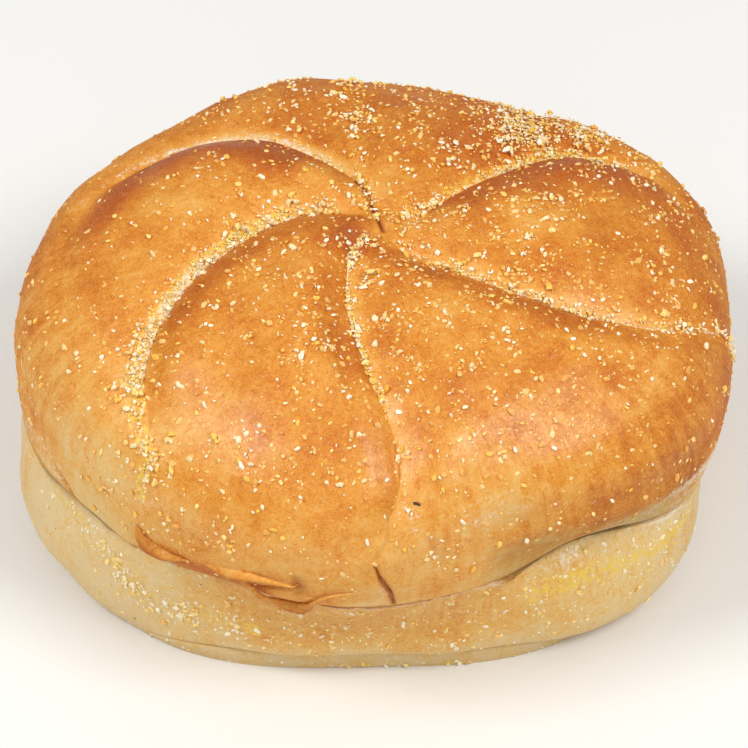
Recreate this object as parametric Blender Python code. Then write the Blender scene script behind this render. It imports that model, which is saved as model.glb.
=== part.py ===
"""Sliced kaiser roll: a round bread roll with a swirled top, cut through level.

Two solids. top_half is the crown, with six curved folds that run out from the
swirl; bottom_half is the heel it rests on. Grains of coarse cornmeal are fused
to the crust of both. Lengths are in metres, directions in degrees, seen from
above and counted from +X. The front of the roll is at -Y.
"""
import math

import bmesh
import bpy
import numpy as np

MM = 0.001
RADIUS = 52.0 * MM            # mean half width of the crown
HEIGHT = 53.7 * MM            # the petals' tops above the table
CUT_HEIGHT = 20.3 * MM        # level of the knife's cut
CUT_GAP = 0.35 * MM           # air left between the two cut faces
CROWN_DROP = 9.8 * MM         # from the widest level down to the cut
DOME_POWER = 2.35             # 2 is an ellipse, more is boxier
HEEL_WIDEST = 8.9 * MM        # level at which the heel is widest
HEEL_POWER = 2.0
HEEL_SHARE = 0.946            # heel's half width as a share of RADIUS
FOOT_HEIGHT = 3.4 * MM        # short upright wall below the crease at the front
FOOT_CREASE = 0.5 * MM        # how far that crease bites in
BASE_SHARE = 0.796            # flat base's half width as a share of RADIUS
FRONT_FLAT, FLAT_AT, FLAT_WIDTH = 3.4 * MM, 272.0, 24.0   # the heel's flattened front
BASE_ROUND = 0.5 * MM         # soft lower edge of the heel
BASE_TUCK = 0.6 * MM

# Uneven outlines: number of lobes, share of the half width, direction. The
# sharper lobes of the heel are at the front only; the back is plain.
CROWN_LOBES = ((1, 0.069, 77.8), (2, 0.044, 1.5), (3, 0.017, 9.8), (5, 0.021, 38.3), (6, 0.012, 33.7))
HEEL_LOBES = ((1, 0.070, 97.8), (2, 0.040, 4.1))
HEEL_FRONT_LOBES = ((3, 0.037, 80.3), (4, 0.004, 74.1), (5, 0.033, 49.1))
SEAM_INSET, SEAM_LOBES = -0.028, ((1, 0.046, 95.5),)
SEAM_FRONT_LOBES = ((3, 0.106, 75.4), (4, 0.036, 45.3))
BASE_LOBES, BASE_FRONT_LOBES = ((1, 0.010, 191.6), (2, 0.020, 58.7)), ((3, 0.104, 88.9),)

# Folds of the swirl in order around the roll, in directions about the swirl:
# start, turn on the way out, extra curl at the end and hook at the swirl
# (degrees), reach along the crust (share of RADIUS), depth and width of the
# shoulders (metres), and the side of the plump, steep lip: +1 counterclockwise
# of the fold, -1 clockwise, 0 none. The other side slopes gently.
FOLDS = (
    ("right_back", 50.5, -11.0, -23.5, -16.5, 0.98, 3.6 * MM, 9.0 * MM, -1),
    ("back", 108.0, -17.0, 5.0, 1.0, 0.78, 1.5 * MM, 5.0 * MM, 0),
    ("left_back", 122.0, 4.0, 54.5, -56.0, 0.95, 3.6 * MM, 8.0 * MM, 1),
    ("left", 181.5, 36.5, 10.5, -102.5, 1.02, 3.4 * MM, 8.5 * MM, 1),
    ("front", 250.0, 38.5, -21.0, -52.0, 1.15, 2.4 * MM, 6.5 * MM, -1),
    ("right", 319.0, 30.0, 4.5, -5.5, 1.05, 3.2 * MM, 8.0 * MM, -1),
)
HOOK_REACH = 0.2              # arc over which a hook fades out
SWIRL_X, SWIRL_Y = 0.028, 0.049   # the swirl's centre off the dome's, as arcs
SWIRL_DIMPLE = 0.8 * MM
FOLD_BLEND = 4.0              # power of the mean that joins the folds' sinks
LIP_SHARP, SLOPE_SHARP = 2.0 * MM, 2.6 * MM   # half widths of a fold's bottom
LIP_RISE = 0.10               # a lip's swelling as a share of the fold's depth
LEAST_PETAL = 12.0            # degrees between two folds' columns at the swirl
PETAL_COLUMNS = (12, 18, 16, 12, 19, 19)
CROWN_ROWS = 33

# Torn places at the cut: a flap of crust, a curled leaf at its left end, an
# open tear, and a strand of crust that sags onto the heel (degrees, metres).
FLAP_FROM, FLAP_TO, FLAP_LIFT = 228.0, 262.0, 0.6 * MM
LEAF_AT, LEAF_RISE, LEAF_LIFT = 229.0, 4.0 * MM, 1.1 * MM
TEAR_AT, TEAR_HALF_WIDTH, TEAR_DEPTH = 273.0, 1.2 * MM, 1.2 * MM
STRAND_AT, STRAND_SAG, STRAND_LIFT = 255.5, 0.9 * MM, 0.9 * MM

# Where the knife wandered: rise of both cut faces, direction and half width
# (metres, degrees), and how far the crown's edge gapes open on the right.
SEAM_WAVES = ((1.6 * MM, 313.5, 8.5), (-1.2 * MM, 331.0, 6.0), (-0.25 * MM, 272.0, 10.0),
              (0.7 * MM, 246.0, 10.0))
GAPE_WAVES = ((0.25 * MM, 309.0, 5.0), (0.3 * MM, 320.5, 3.5), (0.1 * MM, 246.0, 10.0))

# The right rim turns under below a crease: its arc, directions and depth.
RIM_ARC, RIM_FROM, RIM_TO, RIM_SOFT, RIM_UNDER = 1.2, 297.0, 326.0, 9.0, 1.4 * MM

HEEL_COLUMNS = 72
HEEL_UPPER_ROWS = 5
HEEL_LOWER_ROWS = 7

GRAIN_SEED = 17
CROWN_GRAINS = 92
HEEL_GRAINS = 34
GRAIN_SIZE = 1.5 * MM
GRAIN_SINK = 0.30             # share of a grain's half size below the crust


def smooth(x):
    """Rise from 0 to 1, flat at both ends, as x goes from 0 to 1."""
    x = np.clip(x, 0.0, 1.0)
    return x * x * (3.0 - 2.0 * x)


def wrap(angle):
    """Bring an angle in radians between -pi and pi."""
    return (angle + math.pi) % (2.0 * math.pi) - math.pi


def lobes(azimuth, parts):
    """Sum of cosine lobes, each with a count, a share and a direction."""
    total = 0.0 * azimuth
    for count, share, direction in parts:
        total = total + share * np.cos(count * (azimuth - math.radians(direction)))
    return total


def front_share(azimuth):
    """1 around the front half of the roll, 0 around the back half."""
    return smooth(0.5 - 0.9 * np.sin(azimuth))


def crown_outline(azimuth):
    """Half width of the crown at its widest level."""
    return RADIUS * (1.0 + lobes(azimuth, CROWN_LOBES))


def heel_outline(azimuth):
    """Half width of the heel at its widest level."""
    uneven = lobes(azimuth, HEEL_LOBES) + front_share(azimuth) * lobes(azimuth, HEEL_FRONT_LOBES)
    return RADIUS * (HEEL_SHARE + uneven)


def seam_outline(azimuth):
    """Half width of both halves at the cut."""
    uneven = lobes(azimuth, SEAM_LOBES) + front_share(azimuth) * lobes(azimuth, SEAM_FRONT_LOBES)
    return heel_outline(azimuth) * (1.0 - np.maximum(SEAM_INSET + uneven, 0.0))


def base_outline(azimuth):
    """Half width of the flat base."""
    uneven = lobes(azimuth, BASE_LOBES) + front_share(azimuth) * lobes(azimuth, BASE_FRONT_LOBES)
    return RADIUS * BASE_SHARE * (1.0 + uneven)


def foot_height(azimuth):
    """Height of the upright foot, which fades out away from the front."""
    off = np.abs(np.degrees(wrap(azimuth - math.radians(270.0))))
    return FOOT_HEIGHT * smooth((1.0 - off / 60.0) / 0.6)


def waves(azimuth, parts):
    """Sum of bells around the roll, each with a height, a direction and a
    half width: height times exp(-(off / width)^2)."""
    total = 0.0 * azimuth
    for height, direction, width in parts:
        off = np.degrees(wrap(azimuth - math.radians(direction)))
        total = total + height * np.exp(-(off / width) ** 2)
    return total


def crown_profile():
    """Arc, reach and height from the swirl down to the cut, by RADIUS.

    The dome is a superellipse; below its widest level the side runs straight
    down, and crown_surface tucks it in to the seam.
    """
    top, cut, drop = HEIGHT / RADIUS, CUT_HEIGHT / RADIUS, CROWN_DROP / RADIUS
    angle = np.linspace(math.pi / 2.0, 0.0, 500)
    reach = np.cos(angle).clip(0.0) ** (2.0 / DOME_POWER)
    height = cut + drop + (top - cut - drop) * np.sin(angle) ** (2.0 / DOME_POWER)
    down = np.linspace(0.0, 1.0, 90)[1:]
    reach = np.concatenate([reach, np.ones(down.size)])
    height = np.concatenate([height, cut + drop * (1.0 - down)])
    arc = np.concatenate([[0.0], np.cumsum(np.hypot(np.diff(reach), np.diff(height)))])
    return arc, reach, height


PROFILE_ARC, PROFILE_REACH, PROFILE_HEIGHT = crown_profile()
FULL_ARC = PROFILE_ARC[-1]


def crust_place(direction, way):
    """Direction and arc about the dome's top of a place given about the
    swirl; the offset fades out to nothing at the cut."""
    fade = 1.0 - (way / FULL_ARC) ** 2
    x = way * np.cos(direction) + SWIRL_X * fade
    y = way * np.sin(direction) + SWIRL_Y * fade
    return np.arctan2(y, x) % (2.0 * math.pi), np.hypot(x, y)


def fold_azimuth(fold, way):
    """Direction of a fold's bottom: start + turn t + curl t^6 + hook e^-w/h."""
    start, turn, curl, hook, reach = fold[1:6]
    share = np.clip(way / reach, 0.0, 1.0)
    return np.radians(start + turn * share + curl * share ** 6 + hook * np.exp(-way / HOOK_REACH))


def fold_slope(fold, way):
    """Turn of a fold's direction for each unit of way, in radians."""
    turn, curl, hook, reach = fold[2:6]
    share = np.clip(way / reach, 0.0, 1.0)
    hooked = np.radians(hook) * np.exp(-way / HOOK_REACH) / HOOK_REACH
    return np.radians(turn + 6.0 * curl * share ** 5) / reach * (way < reach) - hooked


def fold_distance(fold, direction, way):
    """Distance across a fold in metres, positive counterclockwise of it; on
    the far side of the swirl it is the distance to the swirl."""
    off = np.clip(wrap(direction - fold_azimuth(fold, way)), -math.pi / 2.0, math.pi / 2.0)
    return RADIUS * way * np.sin(off) / np.sqrt(1.0 + (way * fold_slope(fold, way)) ** 2)


def fold_side(fold, direction, way):
    """1 on the fold's own side of the swirl, 0 on the side behind it."""
    off = np.abs(wrap(direction - fold_azimuth(fold, way)))
    return 1.0 - smooth((off - 1.5) / 1.2)


def fold_relief(direction, way):
    """How far the folds and the swirl's dimple sink the crust: each fold has a
    narrow bottom, a steep plump lip on one side and a long slope on the other,
    and the folds are joined by a power mean, so they don't add up."""
    total, rise = 0.0 * direction * way, 0.0 * direction * way
    for fold in FOLDS:
        reach, depth, broad, lip = fold[5:9]
        side = fold_distance(fold, direction, way) * (lip if lip else 1)
        own = fold_side(fold, direction, way)
        ends = (0.30 + 0.70 * smooth(way / 0.14)) * (1.0 - smooth((way - reach + 0.30) / 0.34))
        steep = 0.50 * np.exp(-(np.abs(side) / LIP_SHARP) ** 1.5)
        steep = steep + 0.50 * np.exp(-(side / (0.75 * broad)) ** 2)
        gentle = 0.40 * np.exp(-(np.abs(side) / SLOPE_SHARP) ** 1.3)
        gentle = gentle + 0.60 * np.exp(-(side / (1.05 * broad)) ** 2)
        middle = 0.5 * (steep + gentle)
        shape = np.where(side > 0.0, steep, gentle) if lip else gentle
        total = total + (depth * ends * (middle + (shape - middle) * own)) ** FOLD_BLEND
        if lip:
            swelling = np.exp(-((side / MM - 5.0) / 2.6) ** 2) * smooth(way / 0.25)
            rise = rise + LIP_RISE * depth * ends * own * swelling
    return rise - total ** (1.0 / FOLD_BLEND) - SWIRL_DIMPLE * np.exp(-(way / 0.06) ** 2)


def swell(points):
    """Broad, shallow unevenness of the dough at points in space."""
    x, y, z = points[..., 0] / MM, points[..., 1] / MM, points[..., 2] / MM
    wide = np.sin(0.16 * x + 0.05 * y + 1.1) * np.sin(0.13 * y - 0.09 * x + 0.4)
    small = np.sin(0.33 * x - 0.21 * z + 2.0) * np.sin(0.29 * y + 0.27 * z + 0.7)
    return (0.35 * wide + 0.18 * small) * MM


def flap_lift(azimuth, level):
    """Outward push of the torn flap; level is 0 at the cut, 1 above it."""
    first, last = math.radians(FLAP_FROM), math.radians(FLAP_TO)
    way = wrap(azimuth - first) / (last - first)
    along = smooth(way / 0.12) * (1.0 - smooth((way - 0.75) / 0.25))
    edge = smooth((level + 0.02) / 0.06) * (1.0 - smooth((level - 0.16) / 0.34))
    return FLAP_LIFT * along * np.where(level < 0.02, 1.0, edge)


def leaf_lift(azimuth, level):
    """Outward push of the curled leaf of crust at the flap's left end."""
    off = np.degrees(wrap(azimuth - math.radians(LEAF_AT))) / 3.6
    rise = (level * CROWN_DROP - LEAF_RISE) / (2.4 * MM)
    return LEAF_LIFT * np.exp(-off ** 2 - rise ** 2)


def rim_tuck(azimuth, along):
    """How far the right rim turns under below its crease."""
    degrees = np.degrees(azimuth % (2.0 * math.pi))
    there = smooth((degrees - RIM_FROM + RIM_SOFT) / RIM_SOFT)
    there = there * smooth((RIM_TO + RIM_SOFT - degrees) / RIM_SOFT)
    back = 0.7 * smooth((along - RIM_ARC - 0.1) / 0.09)
    return RIM_UNDER * there * (smooth((along - RIM_ARC) * RADIUS / (3.0 * MM)) - back)


def tear_depth(azimuth, level):
    """Inward bite of the open tear above the cut at the front."""
    width = TEAR_HALF_WIDTH * (1.0 - level / 0.42).clip(0.05)
    across = RADIUS * wrap(azimuth - np.radians(TEAR_AT + 3.0 * (0.2 - level)))
    return TEAR_DEPTH * np.exp(-(across / width) ** 2) * (1.0 - smooth((level - 0.25) / 0.2))


def crown_surface(direction, share):
    """Points of the crown's crust; share is 0 at the swirl, 1 at the cut."""
    way = share * FULL_ARC
    azimuth, along = crust_place(direction, way)
    out = np.interp(along, PROFILE_ARC, PROFILE_REACH)
    up = np.interp(along, PROFILE_ARC, PROFILE_HEIGHT)
    lean_out = -np.interp(along, PROFILE_ARC, np.gradient(PROFILE_HEIGHT, PROFILE_ARC))
    lean_up = np.interp(along, PROFILE_ARC, np.gradient(PROFILE_REACH, PROFILE_ARC))
    level = (up - CUT_HEIGHT / RADIUS) / (CROWN_DROP / RADIUS)
    below = (1.0 - level).clip(0.0, 1.0)
    tuck = np.maximum(crown_outline(azimuth) - seam_outline(azimuth), 0.0)
    radius = out * crown_outline(azimuth) - tuck * below ** 2
    rough = np.stack([radius * np.cos(azimuth), radius * np.sin(azimuth), up * RADIUS + 0.0 * radius], -1)
    calm = 1.0 - smooth((along / FULL_ARC - 0.90) / 0.10)
    relief = fold_relief(direction, way) + swell(rough) * calm - rim_tuck(azimuth, along)
    radius = radius + lean_out * relief + flap_lift(azimuth, level) + leaf_lift(azimuth, level)
    radius = radius - tear_depth(azimuth, level)
    seam = waves(azimuth, SEAM_WAVES + GAPE_WAVES) * below ** 1.5
    rise = up * RADIUS + lean_up * relief + seam
    return np.stack([radius * np.cos(azimuth), radius * np.sin(azimuth), rise], -1)


def strand_lift(azimuth, level_mm):
    """Outward push of the strand of crust that sags from the cut onto the heel."""
    along = (np.degrees(wrap(azimuth - math.radians(STRAND_AT)))) / 7.0
    sag = STRAND_SAG / MM * (1.0 - along ** 2)
    ridge = np.exp(-((level_mm - sag) / 0.9) ** 2)
    return STRAND_LIFT * ridge * (1.0 - smooth((np.abs(along) - 0.75) / 0.35))


def heel_surface(azimuth, way):
    """Points of the heel's side; way is 0 at the cut, 1 at the widest level,
    2 at the crease above the foot and 3 at the base."""
    widest, seam, base = heel_outline(azimuth), seam_outline(azimuth), base_outline(azimuth)
    widest = widest - waves(azimuth, ((FRONT_FLAT, FLAT_AT, FLAT_WIDTH),))
    foot = foot_height(azimuth)
    top = CUT_HEIGHT - CUT_GAP
    upper = (1.0 - way).clip(0.0, 1.0)
    turn = (way - 1.0).clip(0.0, 1.0) * math.pi / 2.0
    wall = (way - 2.0).clip(0.0, 1.0)
    radius = base + (widest - base) * np.cos(turn).clip(0.0) ** (2.0 / HEEL_POWER)
    radius = radius - (widest - seam) * upper ** 2
    crease = FOOT_CREASE * foot / FOOT_HEIGHT
    radius = radius - crease * np.exp(-((way - 2.0) / 0.10) ** 2) - BASE_TUCK * wall ** 2
    fall = (HEEL_WIDEST - foot - BASE_ROUND) * np.sin(turn) ** (2.0 / HEEL_POWER)
    height = HEEL_WIDEST + (top - HEEL_WIDEST) * upper - fall - (foot + BASE_ROUND) * wall
    radius = radius + strand_lift(azimuth, (top - height) / MM)
    point = np.stack([radius * np.cos(azimuth), radius * np.sin(azimuth), height], -1)
    calm = smooth(way / 0.3) * (1.0 - smooth((way - 1.8) / 0.2))
    radius = radius + swell(point) * calm
    height = height + waves(azimuth, SEAM_WAVES) * upper ** 1.5
    return np.stack([radius * np.cos(azimuth), radius * np.sin(azimuth), height], -1)


def petal_directions(way):
    """Directions of the grid's columns at one way, close set at the folds."""
    bottoms = [float(fold_azimuth(fold, np.array(way))) for fold in FOLDS]
    least = math.radians(LEAST_PETAL)
    for index in range(1, len(bottoms)):
        bottoms[index] = max(bottoms[index], bottoms[index - 1] + least)
    bottoms.append(bottoms[0] + 2.0 * math.pi)
    bottoms[-2] = min(bottoms[-2], bottoms[-1] - least)
    columns = []
    for index, count in enumerate(PETAL_COLUMNS):
        share = np.arange(count) / count
        share = share - 0.6 * np.sin(2.0 * math.pi * share) / (2.0 * math.pi)
        columns.append(bottoms[index] + (bottoms[index + 1] - bottoms[index]) * share)
    return np.concatenate(columns)


def crown_rings():
    """Rings of the crown from just outside the swirl down to the cut."""
    shares = np.linspace(0.0, 1.0, CROWN_ROWS + 1)[1:]
    shares = shares - 0.10 * np.sin(2.0 * math.pi * shares) / (2.0 * math.pi)
    return [crown_surface(petal_directions(share * FULL_ARC), share) for share in shares]


def heel_rings():
    """Rings of the heel from the cut down to the base."""
    azimuth = np.arange(HEEL_COLUMNS) * 2.0 * math.pi / HEEL_COLUMNS
    ways = list(np.linspace(0.0, 1.0, HEEL_UPPER_ROWS)) + list(np.linspace(1.0, 2.0, HEEL_LOWER_ROWS)[1:])
    ways += [2.15, 3.0]
    return [heel_surface(azimuth, way + 0.0 * azimuth) for way in ways]


def closed_body(name, rings, first_pole, last_pole):
    """Mesh object of rings, closed by a fan to a pole at each end."""
    count = len(rings[0])
    verts = [tuple(first_pole)] + [tuple(p) for ring in rings for p in ring] + [tuple(last_pole)]
    last = len(verts) - 1
    faces = [(0, 1 + k, 1 + (k + 1) % count) for k in range(count)]
    for row in range(len(rings) - 1):
        a, b = 1 + row * count, 1 + (row + 1) * count
        faces += [(a + k, b + k, b + (k + 1) % count, a + (k + 1) % count) for k in range(count)]
    a = 1 + (len(rings) - 1) * count
    faces += [(last, a + (k + 1) % count, a + k) for k in range(count)]
    mesh = bpy.data.meshes.new(name)
    mesh.from_pydata(verts, [], faces)
    mesh.update()
    body = bpy.data.objects.new(name, mesh)
    bpy.context.scene.collection.objects.link(body)
    face_out(mesh)
    return body


def face_out(mesh):
    """Turn every face of a closed mesh outward."""
    bm = bmesh.new()
    bm.from_mesh(mesh)
    bmesh.ops.recalc_face_normals(bm, faces=bm.faces)
    if bm.calc_volume(signed=True) < 0.0:
        bmesh.ops.reverse_faces(bm, faces=bm.faces)
    bm.to_mesh(mesh)
    bm.free()


def crown_grain_weight(direction, way):
    """How thickly the cornmeal lies on the crown, from 0 to 1."""
    azimuth, arc = crust_place(direction, way)
    weight = 0.05 + 0.16 * np.exp(-(arc / 0.35) ** 2)
    thick = (0.9, 0.35, 0.25, 0.8, 0.3, 0.7)
    for fold, amount in zip(FOLDS, thick):
        across = fold_distance(fold, direction, way) / MM
        band = np.exp(-((across - 1.0) / 2.2) ** 2) * fold_side(fold, direction, way)
        weight = weight + amount * band * (way < fold[5]) * smooth(way / 0.2)
    side = 0.5 + 0.5 * np.cos(azimuth - math.radians(10.0))
    weight = weight + 0.16 * side
    drift = np.exp(-(wrap(azimuth - math.radians(50.0)) / 0.22) ** 2 - ((arc - 0.8) / 0.22) ** 2)
    return np.minimum(weight + 0.9 * drift, 1.0)


def pick_places(draw, wanted, weight, low, high):
    """Seeded places (azimuth, way) kept in proportion to their weight."""
    places = []
    while len(places) < wanted:
        azimuth = draw.uniform(0.0, 2.0 * math.pi)
        way = draw.uniform(low, high)
        if draw.uniform() < weight(azimuth, way):
            places.append((azimuth, way))
    return places


def surface_frame(surface, azimuth, way, step):
    """A point of a surface and its outward normal there."""
    here = surface(np.array([azimuth]), np.array([way]))[0]
    side = surface(np.array([azimuth + 0.01]), np.array([way]))[0] - here
    down = surface(np.array([azimuth]), np.array([way + step]))[0] - here
    normal = np.cross(down, side)
    return here, normal / np.linalg.norm(normal)


def add_grain(group, index, draw, place, normal, size):
    """One angular grain: a jittered ball of twenty faces, sunk in the crust."""
    bm = bmesh.new()
    bmesh.ops.create_icosphere(bm, subdivisions=1, radius=0.5 * size)
    stretch = draw.uniform(0.75, 1.15, 3)
    for vert in bm.verts:
        pull = draw.uniform(0.82, 1.12)
        vert.co = [vert.co[axis] * stretch[axis] * pull for axis in range(3)]
    centre = place + normal * size * (0.5 - GRAIN_SINK)
    for vert in bm.verts:
        vert.co = [vert.co[axis] + centre[axis] for axis in range(3)]
    mesh = bpy.data.meshes.new("grain_%03d" % index)
    bm.to_mesh(mesh)
    bm.free()
    face_out(mesh)
    group.objects.link(bpy.data.objects.new(mesh.name, mesh))


def crown_places(draw):
    """Places of the crown's grains, apart from each other and off the cut."""
    def weight(direction, share):
        thick = crown_grain_weight(np.array([direction]), np.array([share * FULL_ARC]))[0]
        return float(thick) * min(1.0, share * 1.3)

    found = []
    for direction, share in pick_places(draw, CROWN_GRAINS * 3, weight, 0.04, 0.88):
        place, normal = surface_frame(crown_surface, direction, share, 0.004)
        if all(np.linalg.norm(place - other) > 1.35 * GRAIN_SIZE for other, _ in found):
            found.append((place, normal))
    return found[:CROWN_GRAINS]


def heel_places(draw):
    """Places of the heel's grains: a band below the cut, left and right."""

    def weight(azimuth, way):
        left = math.exp(-(wrap(azimuth - math.radians(228.0)) / 0.45) ** 2)
        right = math.exp(-(wrap(azimuth - math.radians(315.0)) / 0.35) ** 2)
        return 0.12 + 0.85 * max(left, right)

    found = []
    for azimuth, way in pick_places(draw, HEEL_GRAINS * 3, weight, 0.30, 1.45):
        place, normal = surface_frame(heel_surface, azimuth, way, 0.01)
        if all(np.linalg.norm(place - other) > 1.35 * GRAIN_SIZE for other, _ in found):
            found.append((place, normal))
    return found[:HEEL_GRAINS]


def fuse_grains(body, places, draw):
    """Fuse a grain at every place to the body with one union."""
    group = bpy.data.collections.new("grains_" + body.name)
    bpy.context.scene.collection.children.link(group)
    sizes = np.sort(draw.uniform(0.85, 1.15, len(places)))[::-1]
    for index, (place, normal) in enumerate(places):
        add_grain(group, index, draw, place, normal, GRAIN_SIZE * sizes[index])
    union = body.modifiers.new("grains", "BOOLEAN")
    union.operation = "UNION"
    union.operand_type = "COLLECTION"
    union.collection = group
    union.solver = "EXACT"
    depsgraph = bpy.context.evaluated_depsgraph_get()
    fused = bpy.data.meshes.new_from_object(body.evaluated_get(depsgraph), depsgraph=depsgraph)
    body.modifiers.clear()
    body.data = fused
    for grain in list(group.objects):
        bpy.data.objects.remove(grain, do_unlink=True)
    bpy.data.collections.remove(group)
    keep_main_body(body)


def keep_main_body(body):
    """Drop any loose scrap and any sealed hollow, keeping the largest shell."""
    bm = bmesh.new()
    bm.from_mesh(body.data)
    bmesh.ops.remove_doubles(bm, verts=bm.verts, dist=0.004 * MM)
    bmesh.ops.dissolve_degenerate(bm, dist=0.004 * MM, edges=bm.edges)
    bmesh.ops.triangulate(bm, faces=bm.faces)
    left = set(bm.faces)
    shells = []
    while left:
        stack = [left.pop()]
        shell = set(stack)
        while stack:
            for edge in stack.pop().edges:
                for face in edge.link_faces:
                    if face in left:
                        left.remove(face)
                        shell.add(face)
                        stack.append(face)
        shells.append(shell)
    shells.sort(key=len, reverse=True)
    scraps = [face for shell in shells[1:] for face in shell]
    bmesh.ops.delete(bm, geom=scraps, context="FACES")
    bm.to_mesh(body.data)
    bm.free()


def give_finish(body, colour, roughness):
    """A plain finish for one solid."""
    finish = bpy.data.materials.new(body.name + "_finish")
    finish.use_nodes = True
    shader = finish.node_tree.nodes["Principled BSDF"]
    shader.inputs["Base Color"].default_value = colour
    shader.inputs["Roughness"].default_value = roughness
    shader.inputs["Metallic"].default_value = 0.0
    body.data.materials.clear()
    body.data.materials.append(finish)


def clear_scene():
    """Start from an empty scene."""
    for item in list(bpy.data.objects):
        bpy.data.objects.remove(item, do_unlink=True)


def build():
    """Make the crown and the heel."""
    clear_scene()
    draw = np.random.default_rng(GRAIN_SEED)
    rings = crown_rings()
    swirl = crown_surface(np.array([0.0]), np.array([0.0]))[0]
    crown = closed_body("top_half", rings, swirl, (0.0, 0.0, CUT_HEIGHT))
    fuse_grains(crown, crown_places(draw), draw)
    give_finish(crown, (0.72, 0.36, 0.10, 1.0), 0.45)
    cut = (0.0, 0.0, CUT_HEIGHT - CUT_GAP)
    heel = closed_body("bottom_half", heel_rings(), cut, (0.0, 0.0, 0.0))
    fuse_grains(heel, heel_places(draw), draw)
    give_finish(heel, (0.72, 0.50, 0.24, 1.0), 0.6)


build()
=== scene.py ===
"""Sliced kaiser roll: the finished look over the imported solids.

The crown and the heel are fine surfaces of the same form as the two solids.
Coarse cornmeal lies on them as real grains, one piece for each kind. Lengths
are in metres unless a name says mm; directions are degrees seen from above,
counted from +X, and "arc" is the way along the crust from the swirl, as a
share of RADIUS. The front of the roll is at -Y.
"""
import math
from collections import namedtuple

import bpy
import numpy as np
from bpy.props import FloatProperty, FloatVectorProperty, IntProperty, PointerProperty
from mathutils import Matrix, Vector


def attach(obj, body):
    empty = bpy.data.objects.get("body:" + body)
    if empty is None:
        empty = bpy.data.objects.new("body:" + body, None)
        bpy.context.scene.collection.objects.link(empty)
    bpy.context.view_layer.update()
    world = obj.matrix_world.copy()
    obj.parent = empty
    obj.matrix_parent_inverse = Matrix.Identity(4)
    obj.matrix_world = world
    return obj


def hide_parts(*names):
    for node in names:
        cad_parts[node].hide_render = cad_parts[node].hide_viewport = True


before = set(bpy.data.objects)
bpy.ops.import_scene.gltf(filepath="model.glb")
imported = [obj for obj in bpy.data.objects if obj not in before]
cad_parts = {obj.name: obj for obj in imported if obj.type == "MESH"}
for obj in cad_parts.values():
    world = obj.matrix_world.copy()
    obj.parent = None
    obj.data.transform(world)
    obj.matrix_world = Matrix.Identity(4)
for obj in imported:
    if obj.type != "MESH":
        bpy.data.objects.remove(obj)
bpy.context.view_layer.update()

bl_info = {
    "name": "Sliced kaiser roll",
    "version": (1, 0, 0),
    "blender": (4, 5, 0),
    "location": "3D View > Sidebar > Roll",
    "description": "Builds a sliced kaiser roll with a folded crown, a pale heel and coarse cornmeal",
    "category": "Add Mesh",
}

MM = 0.001

# ---- Form of the roll, the same named sizes as the solids ------------------
RADIUS = 52.0 * MM            # mean half width of the crown
HEIGHT = 53.7 * MM            # the petals' tops above the table
CUT_HEIGHT = 20.3 * MM        # level of the knife's cut
CUT_GAP = 0.35 * MM           # air left between the two cut faces
CROWN_DROP = 9.8 * MM         # from the widest level down to the cut
DOME_POWER = 2.35             # 2 is an ellipse, more is boxier
HEEL_WIDEST = 8.9 * MM        # level at which the heel is widest
HEEL_POWER = 2.0              # its lower side is a quarter of an ellipse
HEEL_SHARE = 0.946            # heel's half width as a share of RADIUS
FOOT_HEIGHT = 3.4 * MM        # short upright wall below the crease at the front
FOOT_CREASE = 0.5 * MM        # how far that crease bites in
BASE_SHARE = 0.796            # flat base's half width as a share of RADIUS
FRONT_FLAT = 3.4 * MM         # how far the heel's front is flattened below the cut
BASE_ROUND = 0.5 * MM         # soft lower edge of the heel
BASE_TUCK = 0.6 * MM          # how far the foot leans in at the base

# Lobes: their count around the roll, share of RADIUS and direction. The front
# ones fade out towards the back.
CROWN_LOBES = ((1, 0.069, 77.8), (2, 0.044, 1.5), (3, 0.017, 9.8), (5, 0.021, 38.3), (6, 0.012, 33.7))
HEEL_LOBES = ((1, 0.070, 97.8), (2, 0.040, 4.1))
HEEL_FRONT_LOBES = ((3, 0.037, 80.3), (4, 0.004, 74.1), (5, 0.033, 49.1))
SEAM_INSET, SEAM_LOBES = -0.028, ((1, 0.046, 95.5),)
SEAM_FRONT_LOBES = ((3, 0.106, 75.4), (4, 0.036, 45.3))
BASE_LOBES, BASE_FRONT_LOBES = ((1, 0.010, 191.6), (2, 0.020, 58.7)), ((3, 0.104, 88.9),)

# Where the knife wandered, and where the crown's edge stands off the heel:
# rise in mm, direction and half width in degrees.
SEAM_WAVES = ((1.6, 313.5, 8.5), (-1.2, 331.0, 6.0), (-0.25, 272.0, 10.0), (0.7, 246.0, 10.0))
SEAM_GAPES = ((0.25, 309.0, 5.0), (0.3, 320.5, 3.5), (0.1, 246.0, 10.0))

# Folds of the swirl in order around the roll, in directions about the swirl:
# start, turn on the way out, extra curl at the end and hook at the swirl
# (degrees), reach (arc), depth and width of the shoulders (mm), and the side
# of the plump lip: +1 counterclockwise of the fold, -1 clockwise, 0 none. The
# other side is the pale, stretched one.
Fold = namedtuple("Fold", "name start turn curl hook reach depth broad lip")
FOLDS = tuple(Fold(*row) for row in (
    ("right_back", 50.5, -11.0, -23.5, -16.5, 0.98, 3.6, 9.0, -1),
    ("back", 108.0, -17.0, 5.0, 1.0, 0.78, 1.5, 5.0, 0),
    ("left_back", 122.0, 4.0, 54.5, -56.0, 0.95, 3.6, 8.0, 1),
    ("left", 181.5, 36.5, 10.5, -102.5, 1.02, 3.4, 8.5, 1),
    ("front", 250.0, 38.5, -21.0, -52.0, 1.15, 2.4, 6.5, -1),
    ("right", 319.0, 30.0, 4.5, -5.5, 1.05, 3.2, 8.0, -1),
))
FOLD_NAMES = [fold.name for fold in FOLDS]
GROOVE_ROUND = 0.55           # mm, roundness of a fold's bottom
HOOK_REACH = 0.2              # arc over which a hook fades out
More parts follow.
